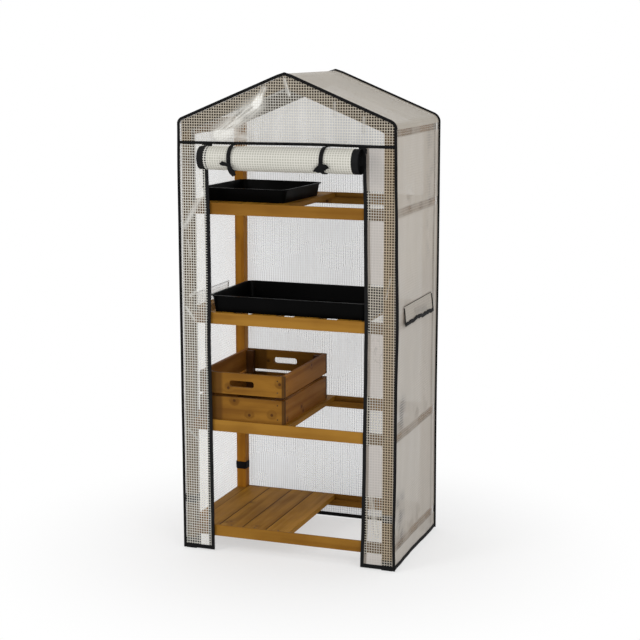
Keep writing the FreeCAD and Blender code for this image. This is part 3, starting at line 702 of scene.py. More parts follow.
def near_line(value, middle, half, soft=0.007):
    """1 within half of the middle, with an edge that fades over soft"""
    return abs(value - middle).between(half + soft / 2, half - soft / 2)


def wall_timber(f):
    """where a side wall's film lies on the rails, the eave rail and the posts"""
    x, y, z = f.xyz()
    nearest = ((z - LOWEST_RAIL) / SHELF_PITCH + 0.5).fract()
    rise = nearest * SHELF_PITCH - SHELF_PITCH / 2            # height over the nearest rail
    rails = near_line(rise, 0.0, 0.0125) * (1 - near_line(z, VENT_RAIL_Z, 0.05) * 0.85)
    above = rise.between(0.0, 0.012) * rise.between(0.095, 0.03) * 0.4
    shelf = f.noise(f.place(), 9.0).between(0.50, 0.60) * above   # the slats behind, here and there
    rear_post = near_line(y, POSTS_Y[1], 0.009, 0.012) * z.between(0.2, 0.9, 0.35, 0.8)
    posts = rear_post + near_line(y, POSTS_Y[0], 0.006) * 0.2
    patchy = f.noise(f.place(), 11.0).between(0.30, 0.60, 0.55, 1.0)
    return rails.most(near_line(z, EAVE_RAIL_Z, 0.0145)).most(posts).most(shelf) * patchy


def wall_crumple_shade(f):
    """painted shade: how dark the net's gaps are painted where the right wall's film is crumpled, by the
    front corner and the rear seam"""
    x, y, z = f.xyz()
    by_foot, by_shelf = near_line(z, 0.140, 0.075, 0.05), near_line(z, 0.455, 0.045, 0.04)
    front = near_line(y, -0.125, 0.045, 0.06) * by_foot.most(by_shelf)
    rear = near_line(y, 0.165, 0.030, 0.05) * z.between(0.80, 0.95) * 0.5
    return front.most(rear) * f.noise(f.place(), 15.0).between(0.40, 0.60, 0.2, 1.0) * 0.95


def roof_timber(f):
    """where the roof film lies on the rafters and the ridge beam"""
    x, y, z = f.xyz()
    rafters = near_line(y, RAFTERS_Y[1], 0.012) + near_line(y, RAFTERS_Y[0], 0.010)
    patchy = f.noise(f.place(), 9.0).between(0.30, 0.60, 0.3, 1.0)
    return rafters.most(near_line(x, 0.0, 0.009)) * patchy


# %% Rules for the front
POSTS_SEEN = (-0.3075, 0.312)               # where the film shows the front posts' middles
STRAP_SEEN, TRAY_SEEN = 0.156, 0.8130       # and at what heights it shows the straps and the large tray


def front_posts(f):
    """where a post stands behind the front film, and where its black strap or foot cap does"""
    x, y, z = f.xyz()
    left, right = (near_line(x, middle, 0.0155, 0.002) for middle in POSTS_SEEN)
    post = right.most(left)
    foot_cap = z.between(0.031, 0.027)
    return post, near_line(z, STRAP_SEEN, 0.0120, 0.003).most(foot_cap) * post


def front_timber(f):
    post, black = front_posts(f)
    return post * (1 - black)


def front_black(f):
    return front_posts(f)[1]


def front_clear(f):
    """where nothing but the bright rear film stands behind the right front panel"""
    x, y, z = f.xyz()
    rise = ((z - LOWEST_RAIL) / SHELF_PITCH).fract() * SHELF_PITCH   # height over the rail below
    over_tray = near_line(z, TRAY_SEEN, 0.0265, 0.004)
    over_rail = (rise + z * 0.1025).between(0.1735, 0.1780)   # the rear rail shows higher, low down
    return over_rail * rise.between(0.306, 0.300) * (x < 0.2962) * (1 - over_tray)


def gable_timber(f):
    """where a rafter or a post's top stands behind the gable"""
    x, y, z = f.xyz()
    under_top = (1.4246 - z) * math.cos(SLOPE) - abs(x - 0.002) * math.sin(SLOPE)
    return under_top.between(0.036, 0.034).most(front_timber(f))     # the rafter's 34 mm, and its edge


# %% [markdown]
# ## Tape and webbing
# The bindings, the zip tapes and the webbing are black, woven with a fine rib. A few slubs and worn
# threads catch the light, so the black is never even.

# %% Woven finish
def woven(name, colour, rough=0.8, pitch=0.0011):
    f = Finish(name)
    x, y, z = f.xyz()
    rib = ((x + y + z) / pitch).fract() - 0.5
    cross = ((x - y + z * 0.7) / (pitch * 1.6)).fract() - 0.5
    weave = abs(rib) + abs(cross)
    wear = f.noise(f.place(), 60.0, 3.0)
    tone = f.tint(weave.between(0.2, 0.9), times(colour, 1.6), times(colour, 0.6))
    tone = f.tint(wear.between(0.55, 0.8) * 0.25, tone, tuple(c * 2.2 + 0.004 for c in colour))
    return f.skin(Base_Color=tone, Roughness=wear.between(0.2, 0.8, rough - 0.08, rough + 0.08),
                  Specular_IOR_Level=0.15, Normal=f.bump(weave + wear * 0.5, 0.3, 0.0004))


# %% Every cloth
# Fold lines on the flat cut: the film gets a painted highlight along each, and the gable a soft ridge too.
GABLE_CREASES = [((0.000, 1.412), (0.014, 1.368), 0.009, 0.80),
                 ((-0.062, 1.386), (-0.086, 1.338), 0.015, 0.70),
                 ((-0.084, 1.340), (-0.200, 1.256), 0.042, 0.85),
                 ((-0.205, 1.244), (-0.120, 1.244), 0.028, 0.75),
                 ((0.150, 1.348), (0.150, 1.314), 0.007, 0.75),
                 ((0.236, 1.308), (0.236, 1.270), 0.008, 0.75)]
LEFT_CREASES = [((-0.258, 1.082), (-0.315, 0.982), 0.013, 0.55),
                ((-0.306, 0.940), (-0.298, 0.890), 0.006, 0.40),
                ((-0.262, 0.806), (-0.300, 0.776), 0.007, 0.50),
                ((-0.314, 0.742), (-0.288, 0.704), 0.006, 0.50),
                ((-0.312, 0.372), (-0.276, 0.336), 0.006, 0.40)]
RIGHT_CREASES = [((0.262, 0.214), (0.280, 0.110), 0.014, 0.45),
                 ((0.318, 0.860), (0.304, 0.800), 0.005, 0.40)]
film_front_left = film("cover_film_front_left", shade(222, 223, 218), shade(222, 219, 209), 0.03, 0.86,
                       glare_creases=LEFT_CREASES, over_black_or_shade=front_black)
# Painted shade: the right front panel's film is a darker copy, for the side away from the light.
film_front_right_shaded = film("cover_film_front_right", shade(92, 84, 72), shade(198, 191, 178), 0.35, 0.84,
                        glare_creases=RIGHT_CREASES, behind=(front_timber, (1.0, 0.88, 0.73)),
                        over_black_or_shade=front_black, against_light=(front_clear, shade(168, 158, 148), 0.62))
film_gable = film("cover_film_gable", shade(150, 145, 136), shade(208, 204, 194), 0.06, 0.86, rough=0.24,
                  crumple=1.0, glare_creases=GABLE_CREASES, shaded=(-0.02, 0.24, shade(40, 35, 28), 0.14),
                  behind=(gable_timber, (0.92, 0.85, 0.76)))
film_left = film("cover_film_left", shade(222, 225, 226), shade(228, 230, 231), 0.28, 0.42, weft=0.35)
film_roof_left = film("cover_film_roof_left", shade(214, 209, 200), shade(226, 222, 214), 0.55, 0.76)
# Painted shade: the right roof and the right wall are darker, taupe copies of the pale film on the left,
# for the side turned from the light; the wall is painted lighter towards its top.
film_roof = film("cover_film_roof", shade(174, 165, 150), shade(180, 171, 157), 0.80, 0.92,
                 lies_on=roof_timber, clear_of=0.93)
film_right_shaded = film("cover_film_right", shade(170, 162, 151), shade(176, 168, 157), 0.36, 0.66,
                  lies_on=wall_timber, clear_of=0.93, lit=(0.76, 0.92, (1.11, 1.10, 1.08)),
                  over_black_or_shade=wall_crumple_shade)
film_rear = film("cover_film_rear", shade(206, 211, 217), shade(211, 216, 222), 0.34, 0.72, weft=0.16,
                 lit=(0.52, 0.36, (0.87, 0.90, 0.94)))
film_flap_left = film("vent_film_left", shade(228, 230, 230), shade(232, 234, 234), 0.15, 0.50)
# Painted shade: the right vent flap gets a darker copy of the film, like the right wall.
film_flap_right_shaded = film("vent_film_right", shade(166, 158, 146), shade(178, 170, 158), 0.80, 0.92,
                       wrinkle_shading=0.75, wrinkle_shadows=[((0.005, 0.030), (0.125, 0.036), 0.016, 0.30)])
film_door = film("door_film", shade(232, 232, 226), shade(240, 236, 224), 0.06, 0.86, at_place=True)
# Painted shade: the rolled door gets a darker copy of the door's film, for the little light it gets.
film_rolled_shaded = film("door_film_rolled", shade(176, 174, 163), shade(214, 212, 203), 1.0, 1.0, rough=0.42,
                   yarn_half=0.0012, taped=0.2125)
binding_finish = woven("black_binding", shade(9, 9, 10))
webbing_finish = woven("black_webbing", shade(10, 10, 11), pitch=0.0016)
zip_finish = woven("zip_tape", shade(10, 10, 11), 0.7, 0.0013)
print("finishes in all:", len(bpy.data.materials))

# %% [markdown]
# ## The cover's outline
# One rule gives the shape of the gable from any panel's point of view: straight walls, a soft eave corner
# and a straight slope to the ridge. The corner is softer on the right, and the corner seams wander a few
# millimetres up the height, because film sewn over a frame never hangs dead straight.

# %% Outline rules
def seam_x(side, z):
    """how far out the front corner seam stands, left (-1) or right (+1)"""
    if side < 0:
        return along([(0.0, 0.3280), (0.25, 0.3290), (0.50, 0.3300), (0.95, 0.3318), (1.15, 0.3325),
                      (1.28, 0.3312)], z)
    return along([(0.0, 0.3345), (0.11, 0.3330), (0.30, 0.3360), (0.52, 0.3365), (0.72, 0.3395),
                  (0.98, 0.3355), (1.15, 0.3320), (1.28, 0.3300)], z)


def rear_x(side, z):
    """the same for the rear corner seams, which are alike"""
    return along([(0.0, 0.3315), (0.4, 0.3300), (0.9, 0.3315), (1.28, 0.3312)], z)


def eave_path(radius):
    """(x, z) points of the right half, from the wall's top round the eave to the ridge"""
    turn = math.pi / 2 - SLOPE
    back = radius * math.tan(turn / 2)
    x0, z0 = WALL - radius, RIDGE - WALL * math.tan(SLOPE) - back        # the corner's centre
    points = [(x0 + radius * math.cos(a), z0 + radius * math.sin(a)) for a in steps(0.0, turn, 8)]
    x1, z1 = points[-1]
    for t in steps(0.0, 1.0, 14)[1:]:
        x, z = x1 * (1 - t), z1 + (RIDGE - z1) * t
        points.append((x, z - 0.0022 * smooth(0.022, 0.0, x)))          # the ridge is a soft fold
    return points


def roof_z(x, radius):
    """the outline's height at x"""
    line = eave_path(radius)
    x = min(abs(x), WALL - 1e-6)
    for (x0, z0), (x1, z1) in zip(line, line[1:]):
        if x1 <= x <= x0:
            return z0 + (z1 - z0) * (x0 - x) / max(x0 - x1, 1e-9)
    return line[-1][1]


wall_top = {side: eave_path(EAVE[side])[0][1] for side in (-1, 1)}
print("eave corners start at z", {side: round(z, 4) for side, z in wall_top.items()})

# %% [markdown]
# ## The cover's body
# Both side walls and the roof are one length of film thrown over the frame, so they are one sheet here
# too. It is cut along the window lines so that the two vent windows can be left out of it, and it sags a
# little between the gables.

# %% The body's cut
heights = sorted(set(steps(BOTTOM, WINDOW_Z[0], 36) + [sum(WINDOW_Z) / 2] + steps(WINDOW_Z[1], 1.26, 26)))
path = []                                               # (x, z, side) from the left hem to the right one
for side in (-1, 1):
    rising = [(WALL, z) for z in heights if z < wall_top[side] - 0.004] + eave_path(EAVE[side])
    half = [(side * x, z, side) for x, z in rising]
    path += half if side < 0 else half[::-1][1:]        # the ridge is in the left half already
lengths = [0.0]
for (x0, z0, _), (x1, z1, _) in zip(path, path[1:]):
    lengths.append(lengths[-1] + math.hypot(x1 - x0, z1 - z0))
depths = sorted(set(steps(FRONT, WINDOW_Y[0], 9) + steps(*WINDOW_Y, 26) + steps(WINDOW_Y[1], REAR, 7)))
by_length = {round(s, 6): p for s, p in zip(lengths, path)}


def lay_body(y, s):
    x, z, side = by_length[round(s, 6)]
    inward = smooth(FRONT, FRONT + 0.07, y) * smooth(REAR, REAR - 0.07, y)
    if z < wall_top[side]:
        near_front, near_rear = math.exp(-(y - FRONT) / 0.030), math.exp(-(REAR - y) / 0.030)
        x += side * ((seam_x(side, z) - WALL) * near_front + (rear_x(side, z) - WALL) * near_rear)
        calm = 1.0                                      # flat round the window
        if WINDOW_Y[0] - 0.03 < y < WINDOW_Y[1] + 0.03:
            calm = smooth(0.0, 0.05, abs(z - sum(WINDOW_Z) / 2) - 0.02)
        x += side * inward * calm * ripple(y * 2.2, z * 0.9, 5 + side) * 0.0020
    else:
        sag = 0.0022 * inward * (0.6 + 0.4 * math.sin(14 * x + 3 * y)) * smooth(0.0, 0.04, abs(x))
        drop = sag + inward * 0.0004
        x, z = x - side * drop * math.sin(SLOPE), z - drop * math.cos(SLOPE)
    return (x, y, z)


def in_window(y, s):
    if not WINDOW_Y[0] < y < WINDOW_Y[1]:
        return False
    near = min(range(len(lengths) - 1), key=lambda i: abs((lengths[i] + lengths[i + 1]) / 2 - s))
    z = (path[near][1] + path[near + 1][1]) / 2
    return WINDOW_Z[0] < z < WINDOW_Z[1]


# %% Cover body
cover_body = face_out(cloth("cover_body", depths, lengths, lay_body, in_window), (0, 0, 1))
for finish in (film_left, film_roof, film_right_shaded, film_roof_left):
    cover_body.data.materials.append(finish)
for face in cover_body.data.polygons:
    centre = face.center
    if centre.x < 0:
        face.material_index = 3 if centre.z > wall_top[-1] else 0
    else:
        face.material_index = 1 if centre.z > wall_top[1] else 2
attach(cover_body, "root")
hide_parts("cover_wall_left", "cover_wall_right", "cover_roof_left", "cover_roof_right")

# %% [markdown]
# ## The front panels, the gable and the rear panel
# The front is open in the middle: two narrow panels stand beside the doorway and a gable closes the roof
# end above the header seam. Each is flat film with soft waves. The doorway edges wander by a few
# millimetres, as they do where a zip is sewn to thin film.

# %% Doorway edges and waves
def door_edge_x(side, z):
    """where the middle of the doorway's black edge runs"""
    if side < 0:
        return along([(0.0, 0.2360), (0.10, 0.2367), (0.24, 0.2376), (0.37, 0.2387), (0.65, 0.2415),
                      (0.83, 0.2385), (1.00, 0.2395), (1.18, 0.2440), (DOOR_TOP, 0.2455)], z)
    return along([(0.0, 0.2360), (0.15, 0.2395), (0.33, 0.2420), (0.62, 0.2450), (0.72, 0.2460),
                  (1.02, 0.2425), (1.19, 0.2385), (DOOR_TOP, 0.2375)], z)


def front_y(x, z):
    """the front film's soft waves, stilled at the corner seam and where the door hangs"""
    still = smooth(0.335, 0.318, abs(x)) * smooth(0.256, 0.275, abs(x))
    return FRONT + 0.0014 * still * ripple(x * 3.0, z * 1.1, 21)


def under_roof(x, z):
    return smooth(0.0, 0.05, roof_z(x, 0.02) - z)


def gable_y(x, z):
    """the gable's waves, and a soft ridge along each white crease"""
    ridge = 0.0
    for (ax, az), (bx, bz), width, strength in GABLE_CREASES:
        dx, dz = bx - ax, bz - az
        t = min(1.0, max(0.0, ((x - ax) * dx + (z - az) * dz) / (dx ** 2 + dz ** 2)))
        off = math.hypot(x - ax - t * dx, z - az - t * dz)
        ridge += strength * math.exp(-(off / max(width, 0.02)) ** 2)
    inside = under_roof(x, z) * smooth(HEADER, HEADER + 0.03, z)
    return FRONT - inside * (0.0014 * ripple(x * 2.6, z * 3.0, 33) + 0.0026 * ridge)


def rear_y(x, z):
    inside = under_roof(x, z) * smooth(0.332, 0.29, abs(x)) * smooth(BOTTOM, 0.05, z)
    return REAR + 0.0018 * inside * ripple(x * 1.5, z * 1.2, 44)


# %% Panels
def upright_panel(name, across, up, lay, way, finish, node):
    """a panel of film in the front or the rear, cut to the outline it has when seen square on"""
    panel = cloth(name, across, up, lay)
    uv = panel.data.uv_layers["flat"]
    for loop in panel.data.loops:
        p = panel.data.vertices[loop.vertex_index].co
        uv.data[loop.index].uv = (p.x, p.z)
    dress(face_out(panel, way), finish, "root", "cover_film", node)
    return panel


def end_panel(name, low, rows, wall_at, y_of, way, finish, node):
    """a panel that fills the outline from low up to the roof"""
    def lay(t, v):
        side = -1 if t < 0 else 1
        z = low + (roof_z(t * WALL, EAVE[side]) - low) * v
        x = t * wall_at(side, z)
        return (x, y_of(x, z), z)

    corner = [-1, -0.998, -0.99, -0.975, -0.955, -0.93]  # the columns crowd where the eave is round
    across = sorted(set(corner + steps(-0.9, 0.9, 30) + [-t for t in corner]))
    return upright_panel(name, across, steps(0.0, 1.0, rows), lay, way, finish, node)


for side, word in SIDES:
    def lay_front(t, z):
        inner, outer = door_edge_x(side, z) + 0.003, seam_x(side, z)
        x = side * (inner + (outer - inner) * t)
        return (x, front_y(x, z), z)

    upright_panel(
        f"front_panel_{word}", steps(0.0, 1.0, 8), steps(BOTTOM, HEADER, 60), lay_front, (0, -1, 0),
        film_front_left if side < 0 else film_front_right_shaded, f"cover_flap_{word}")
front_gable = end_panel("front_gable", HEADER, 16, seam_x, gable_y, (0, -1, 0), film_gable,
                        "cover_front_gable")
rear_panel = end_panel("rear_panel", BOTTOM, 64, rear_x, rear_y, (0, 1, 0), film_rear, "cover_rear_panel")

# %% [markdown]
# ## Bindings and hems
# Black tape is folded over every seam: round the front outline, round the rear one, and across the
# header. It reads as a soft black cord 6 to 7 mm wide. The hems are the same tape folded round the
# bottom edge, 12 mm high, so they show black from inside as well.

# %% Bindings
def outline_points(x_of, out):
    """the outline from the left foot over the ridge to the right foot, moved outwards by out"""
    left = [(-x_of(-1, z), z) for z in steps(BOTTOM, wall_top[-1], 48)]
    right = [(x_of(1, z), z) for z in steps(BOTTOM, wall_top[1], 48)]
    over_left = [(-x, z) for x, z in eave_path(EAVE[-1])[1:]]
    over_right = eave_path(EAVE[1])[1:]
    points = left + over_left + over_right[:-1][::-1] + right[::-1]
    moved = []
    for i, (x, z) in enumerate(points):
        x0, z0 = points[max(i - 1, 0)]
        x1, z1 = points[min(i + 1, len(points) - 1)]
        run = math.hypot(x1 - x0, z1 - z0) or 1.0
        moved.append((x - (z1 - z0) / run * out, z + (x1 - x0) / run * out))
    return moved


header_line = [(x, HEADER + 0.0010 * math.sin(x * 9 + 1.0) + 0.0006 * ripple(x, 0.3, 8))
               for x in steps(-0.3290, 0.3290, 60)]
bindings = join("cover_bindings_sewn", [
    tape("front_binding", outline_points(seam_x, -0.0009), width=0.0066, thickness=0.0088,
         at=FRONT - 0.0020),
    tape("rear_binding", outline_points(rear_x, 0.0010), width=0.0074, thickness=0.0090,
         at=REAR + 0.0016),
    tape("header_binding", header_line, width=0.0042, thickness=0.0086, at=FRONT - 0.0022)])
dress(bindings, binding_finish, "root", "black_binding", "cover_bindings")

# %% Hems
HEM = 0.012                                             # height of the hem tape
hem_lines = []
for side in (-1, 1):
    inner, outer = side * (door_edge_x(side, 0.01) + 0.002), side * seam_x(side, 0.01)
    hem_lines.append([(x, FRONT - 0.0006) for x in steps(inner, outer, 8)])
    foot = lengths[0] if side < 0 else lengths[-1]
    hem_lines.append([(lay_body(y, foot)[0] + side * 0.0006, y)
                      for y in steps(FRONT + 0.003, REAR - 0.003, 20)])
hem_lines.append([(x, REAR + 0.0004) for x in steps(-0.328, 0.328, 30)])
hems = join("cover_hems_sewn", [
    tape(f"hem_{i}", line, width=HEM, thickness=0.0036, plane="xy", at=BOTTOM + HEM / 2)
    for i, line in enumerate(hem_lines)])
dress(hems, binding_finish, "root", "black_binding", "cover_hems")

# %% [markdown]
# ## Zip tapes beside the doorway
# Each doorway edge is a black tape with a coil of small teeth. The tape lies behind the film, where it
# shows as a dotted strip, and the coil stands free at the edge. The teeth are short ridges along the
# coil, modelled once and repeated by an array modifier.

# %% Zips
TOOTH_PITCH = 0.0022


def zip_edge(side):
    zs = steps(BOTTOM, DOOR_TOP, 96)
    edge = ribbon(f"edge_{side}", [(side * door_edge_x(side, z), FRONT - 0.0006, z) for z in zs],
                  width=0.0104, thickness=0.0022)

    def lay_inner(u, z):
        return (side * (door_edge_x(side, z) + 0.0025 + u), FRONT + 0.0016 + 0.0002 * math.sin(60 * z), z)

    inner = cloth(f"zip_tape_{side}", steps(0.0, 0.0105, 3), zs, lay_inner)
    modify(inner, "SOLIDIFY", thickness=0.0006, offset=0.0)
    drop_cut(inner)
    return [edge, inner]


def zip_teeth(side):
    teeth = block(f"zip_teeth_{side}", (0.0032, 0.0016, 0.0011), edge=0.0003, segments=1)
    modify(teeth, "ARRAY", count=int((DOOR_TOP - BOTTOM - 0.004) / TOOTH_PITCH), use_relative_offset=False,
           use_constant_offset=True, constant_offset_displace=(0, 0, TOOTH_PITCH))
    for v in teeth.data.vertices:
        z = v.co.z + BOTTOM + 0.002
        v.co = (v.co.x + side * (door_edge_x(side, z) - 0.0042), v.co.y + FRONT + 0.0010, z)
    return [teeth]


zips = join("zip_chains_sewn", sum([zip_edge(side) + zip_teeth(side) for side in (-1, 1)], []))
dress(zips, zip_finish, "root", "zip_tape", "zip_chains")

# %% [markdown]
# ## The rolled door
# The door is one sheet rolled up from its hem, a spiral of seven and a half turns. The outer turns swell
# and sag a little between the ties, so each turn's radius varies along the roll. Its two side edges carry
# the zips' other tapes, which show as black bands at the ends.

# %% Roll
ROLL_HALF, BAND = 0.2230, 0.0200                        # half the film's length, and a black band's width
TURNS, CORE_R = 7.5, 0.013
TIE_PLACES = (-0.142, 0.136)


def roll_radius(t, x):
    """radius after t of the spiral (0 outside, 1 at the core), at x along the roll"""
    pinch = sum(math.exp(-((x - place) / 0.016) ** 2) for place in TIE_PLACES)
    swell = 0.0008 * math.sin(9 * x + 1.3) + 0.0012 * (x / (ROLL_HALF + BAND))
    outer = ROLL_R - 0.0006 + (1 - t) * swell - 0.0016 * pinch * (1 - t)
    return outer + (CORE_R - outer) * t


def lay_roll(x, t):
    """the sheet comes down from the header at the back of the roll and winds forward under it"""
    turn = 2 * math.pi * TURNS * t
    r = roll_radius(t, x)
    sag = 0.0005 * math.sin(13 * x) * (1 - t)
    return (x, ROLL_Y + r * math.cos(turn), ROLL_Z - r * math.sin(turn) + sag)


def rolled_length(t):
    """how much of the door lies outside t of the spiral"""
    return 2 * math.pi * TURNS * (ROLL_R * t - (ROLL_R - CORE_R) * t * t / 2)


turns = steps(0.0, 1.0, int(TURNS * 32))
roll = cloth("door_roll_film", steps(-ROLL_HALF, ROLL_HALF, 44), turns, lay_roll)
for item in roll.data.uv_layers["flat"].data:
    item.uv = (item.uv[0], rolled_length(item.uv[1]))
print("door wound on the roll", round(rolled_length(1.0), 4), "m")
dress(roll, film_rolled_shaded, "door_roll", "door_film", "door_roll")
bands = join("door_roll_bands", [
    cloth(f"door_band_{side}", steps(side * ROLL_HALF, side * (ROLL_HALF + BAND), 5), turns, lay_roll)
    for side in (-1, 1)])
dress(bands, zip_finish, "door_roll", "zip_tape", "door_roll_tapes")

# %% [markdown]
# ## The sheet that hangs the roll
# Between the header and the roll a short width of the door hangs free. When the roll is lowered this
# part lengthens to the full door, so it bends between the greenhouse and the roll and has many rows. Its
# yarns are drawn from the place in the room, and don't stretch with it.

# %% Hanging sheet
HANG_Y = -0.1840                                        # where the door hangs, in front of the panels
hanging_rows = steps(ROLL_Z, DOOR_TOP, 120)


def lay_hanging(x, z):
    near_roll = smooth(DOOR_TOP, ROLL_Z, z)
    return (x, HANG_Y - 0.00013 + 0.0004 * ripple(x * 3, 0.2, 61) * (1 - near_roll), z)


def hang(piece, finish):
    """turn a hanging piece to face the front, give it its finish, bake its place into the mesh and hide the
    imported sheet
    """
    face_out(piece, (0, -1, 0))
    piece.data.materials.clear()
    piece.data.materials.append(finish)
    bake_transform(piece)
    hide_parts("door_hanging_sheet")
    return piece


hanging_film = hang(cloth("door_hanging_film", steps(-ROLL_HALF, ROLL_HALF, 40), hanging_rows, lay_hanging),
                    film_door)
hanging_edges = hang(join("door_hanging_bands", [
    cloth(f"door_hanging_band_{side}", steps(side * ROLL_HALF, side * (ROLL_HALF + BAND), 3), hanging_rows,
          lay_hanging) for side in (-1, 1)]), zip_finish)
print("the door hangs free for", round(DOOR_TOP - ROLL_Z, 4), "m")

# %% [markdown]
# ## The ties
# A flat black tape goes round the roll at two places and is knotted at the front. The loop follows the
# roll a hair above its film, the knot is a small pillow, and the bows are ribbons pressed flat against
# the roll, narrow at the knot and wider further out. The tails hang free.

# %% Laying tape on the roll
def on_roll(angle_deg, lift, x):
    """a point round the roll: 0 degrees at the back, 90 on top, 180 at the front"""
    a = math.radians(angle_deg)
    r = ROLL_R + lift
    return (x, ROLL_Y + r * math.cos(a), ROLL_Z + r * math.sin(a))


def lying(name, stops, widths):
    """a ribbon that lies on the roll through (x, angle, lift) stops, flat side to the roll"""
    points = [Vector(on_roll(angle, lift, x)) for x, angle, lift in stops]
    sides = []
    for i, (x, angle, lift) in enumerate(stops):
        away = Vector((0, math.cos(math.radians(angle)), math.sin(math.radians(angle))))
        side = away.cross(points[min(i + 1, len(points) - 1)] - points[max(i - 1, 0)])
        if side.length < 1e-6:
            side = sides[-1]
        elif sides and side.dot(sides[-1]) < 0:         # the loop turns back on itself, the width doesn't
            side = -side
        sides.append(side.normalized())
    return ribbon(name, points, widths, sides)


def bow(name, x, angle, reach, drop, wide):
    """one loop of a bow, pressed flat: out from the knot in x, drop degrees down the roll, and back"""
    narrow = 0.0065                                     # its width at the knot
    stops, widths = [], []
    for t in steps(0.0, 1.0, 14):
        out = math.sin(math.pi * t) ** 0.75
        stops.append((x + reach * out, angle + drop * out, 0.0022 + 0.0042 * t + 0.0012 * out))
        widths.append(narrow + (wide - narrow) * smooth(0.0, 0.85, out))
    return lying(name, stops, widths)


# %% Ties
TIE_WIDTH = 0.0122


def make_tie(name, place, angle, loops, tails):
    """a tie round the roll at place along it, knotted at angle; each loop is (reach, drop, width) and
    each tail (sway, length, widths, how far it hangs back)"""
    lead = [(place, -0.1832, 1.2285), (place, -0.1868, 1.2284), (place, -0.1935, 1.2262),
            (place, -0.2030, 1.2268), on_roll(96, 0.0014, place)]
    parts = [ribbon(name + "_band", [on_roll(a, 0.0004, place) for a in range(80, 401, 8)], TIE_WIDTH),
             ribbon(name + "_lead", lead, TIE_WIDTH)]
    knot_at = kx, ky, kz = on_roll(angle, 0.0036, place)
    knot = block(name + "_knot", (0.0125, 0.0078, 0.0110), edge=0.0024, segments=2)
    modify(knot, "SUBSURF", levels=1, render_levels=1)
    bpy.ops.object.shade_smooth()
    knot.location, knot.rotation_euler = knot_at, (math.radians(angle - 180), 0, 0)
    settle(knot)
    parts.append(knot)
    for i, (reach, drop, wide) in enumerate(loops):
        parts.append(bow(f"{name}_bow_{i}", place, angle, reach, drop, wide))
    for i, (sway, length, widths, hang_back) in enumerate(tails):
        stops = list(zip(steps(0.0, 1.0, len(widths) - 1), widths))
        points, spread = [], []
        for t in steps(0.0, 1.0, 10):
            belly = 0.0030 * math.sin(math.pi * min(1.0, t * 1.4))
            points.append((kx + sway * t, ky - belly + hang_back * t * t, kz - length * t))
            spread.append(along(stops, t))
        parts.append(ribbon(f"{name}_tail_{i}", points, spread, (1, 0.25, sway / length), thickness=0.0012))
    return parts


left_tie = make_tie("tie_left", TIE_PLACES[0], 204, [(-0.0205, -8, 0.0120)],
                    [(0.0165, 0.0310, [0.0070, 0.0135, 0.0165, 0.0110], 0.0050),
                     (0.0130, 0.0275, [0.0060, 0.0105, 0.0140, 0.0110], 0.0095)])
right_tie = make_tie("tie_right", TIE_PLACES[1], 193, [(0.0175, 12, 0.0180), (-0.0165, 30, 0.0155)],
                     [(0.0060, 0.0230, [0.0065, 0.0085, 0.0085], 0.0035),
                      (-0.0040, 0.0215, [0.0060, 0.0080, 0.0080], 0.0045)])
ties = join("door_ties_tied", left_tie + right_tie)
dress(ties, webbing_finish, "door_roll", "black_webbing", "door_ties")

# %% [markdown]
# ## The vents
# Each side wall has a long low window with an insect net, and a flap sewn along its upper edge that hangs
# over it. The flap's lower edge and its two ends carry a black tape. The flap is one sheet with a lazy
# wave in it, and the whole of it turns about the seam.

# %% Vents
FLAP_Y, FLAP_TOP, FLAP_DROP = (-0.1011, 0.1899), 0.7668, 0.0568
FLAP_REST = math.radians(6.0)                           # how far the flap stands off the wall


def vent_flap(side, word):
    def lay(y, d):
        loose = smooth(0.0, 0.05, d)
        out = d * math.sin(FLAP_REST) + 0.0012 * loose * math.sin(34 * y + 0.6)
        waves = math.sin(27 * y + 1.2) + 0.5 * math.sin(61 * y) + 0.35 * math.sin(133 * y + 0.8)
        return (side * (0.3328 + out), y, FLAP_TOP - d * math.cos(FLAP_REST) + 0.0026 * loose * waves)

    def line(points, out):
        """points of the flap, moved out of it by out"""
        return [Vector(lay(y, d)) + Vector((side * out, 0, 0)) for y, d in points]

    flap = cloth(f"vent_film_{word}", steps(*FLAP_Y, 40), steps(0.0, FLAP_DROP, 8), lay)
    dress(face_out(flap, (side, 0, 0)), film_flap_left if side < 0 else film_flap_right_shaded,
          f"vent_flap_{word}", "cover_film", f"vent_flap_{word}")
    down = (side * math.sin(FLAP_REST), 0.0, -math.cos(FLAP_REST))
    chance = random.Random(31)                          # the tape is sewn on unevenly
    low = line([(y, 0.0520) for y in steps(-0.1005, 0.1893, 40)], 0.0013)
    seam = line([(y, 0.0008) for y in steps(-0.1005, 0.1893, 30)], 0.0004)
    widths = [0.0112 + chance.uniform(-0.0026, 0.0022) for _ in low]
    parts = [ribbon(f"vent_low_{side}", low, widths, down, thickness=0.0024),
             ribbon(f"vent_seam_{side}", seam, 0.0014, down, thickness=0.0007)]
    for end in (-0.0985, 0.1873):
        fall = line([(end, d) for d in steps(0.0045, 0.0560, 8)], 0.0012)
        parts.append(ribbon(f"vent_side_{side}", fall, 0.0050, (0, 1, 0), thickness=0.0020))
    edge = join(f"vent_edge_{word}", parts)
    dress(edge, binding_finish, f"vent_flap_{word}", "black_binding", f"vent_binding_{word}")
    return flap, edge


vents = [vent_flap(side, word) for side, word in SIDES]

# %% Insect nets
STRAND_PITCH = 0.0016


def insect_net_finish():
    f = Finish("insect_net")
    x, y, z = f.xyz()
    rows, columns = ((abs((way / STRAND_PITCH).fract() - 0.5) * STRAND_PITCH).between(0.00042, 0.00030)
                     for way in (y, z))
    strands = rows.most(columns)
    wear = f.noise(f.place(), 90.0)
    tone = f.tint(wear, shade(222, 222, 218), shade(238, 238, 234))
    return f.skin(Base_Color=tone, Alpha=strands * 0.6, Roughness=wear.between(0.2, 0.8, 0.6, 0.75),
                  Normal=f.bump(strands, 0.3, 0.0003))


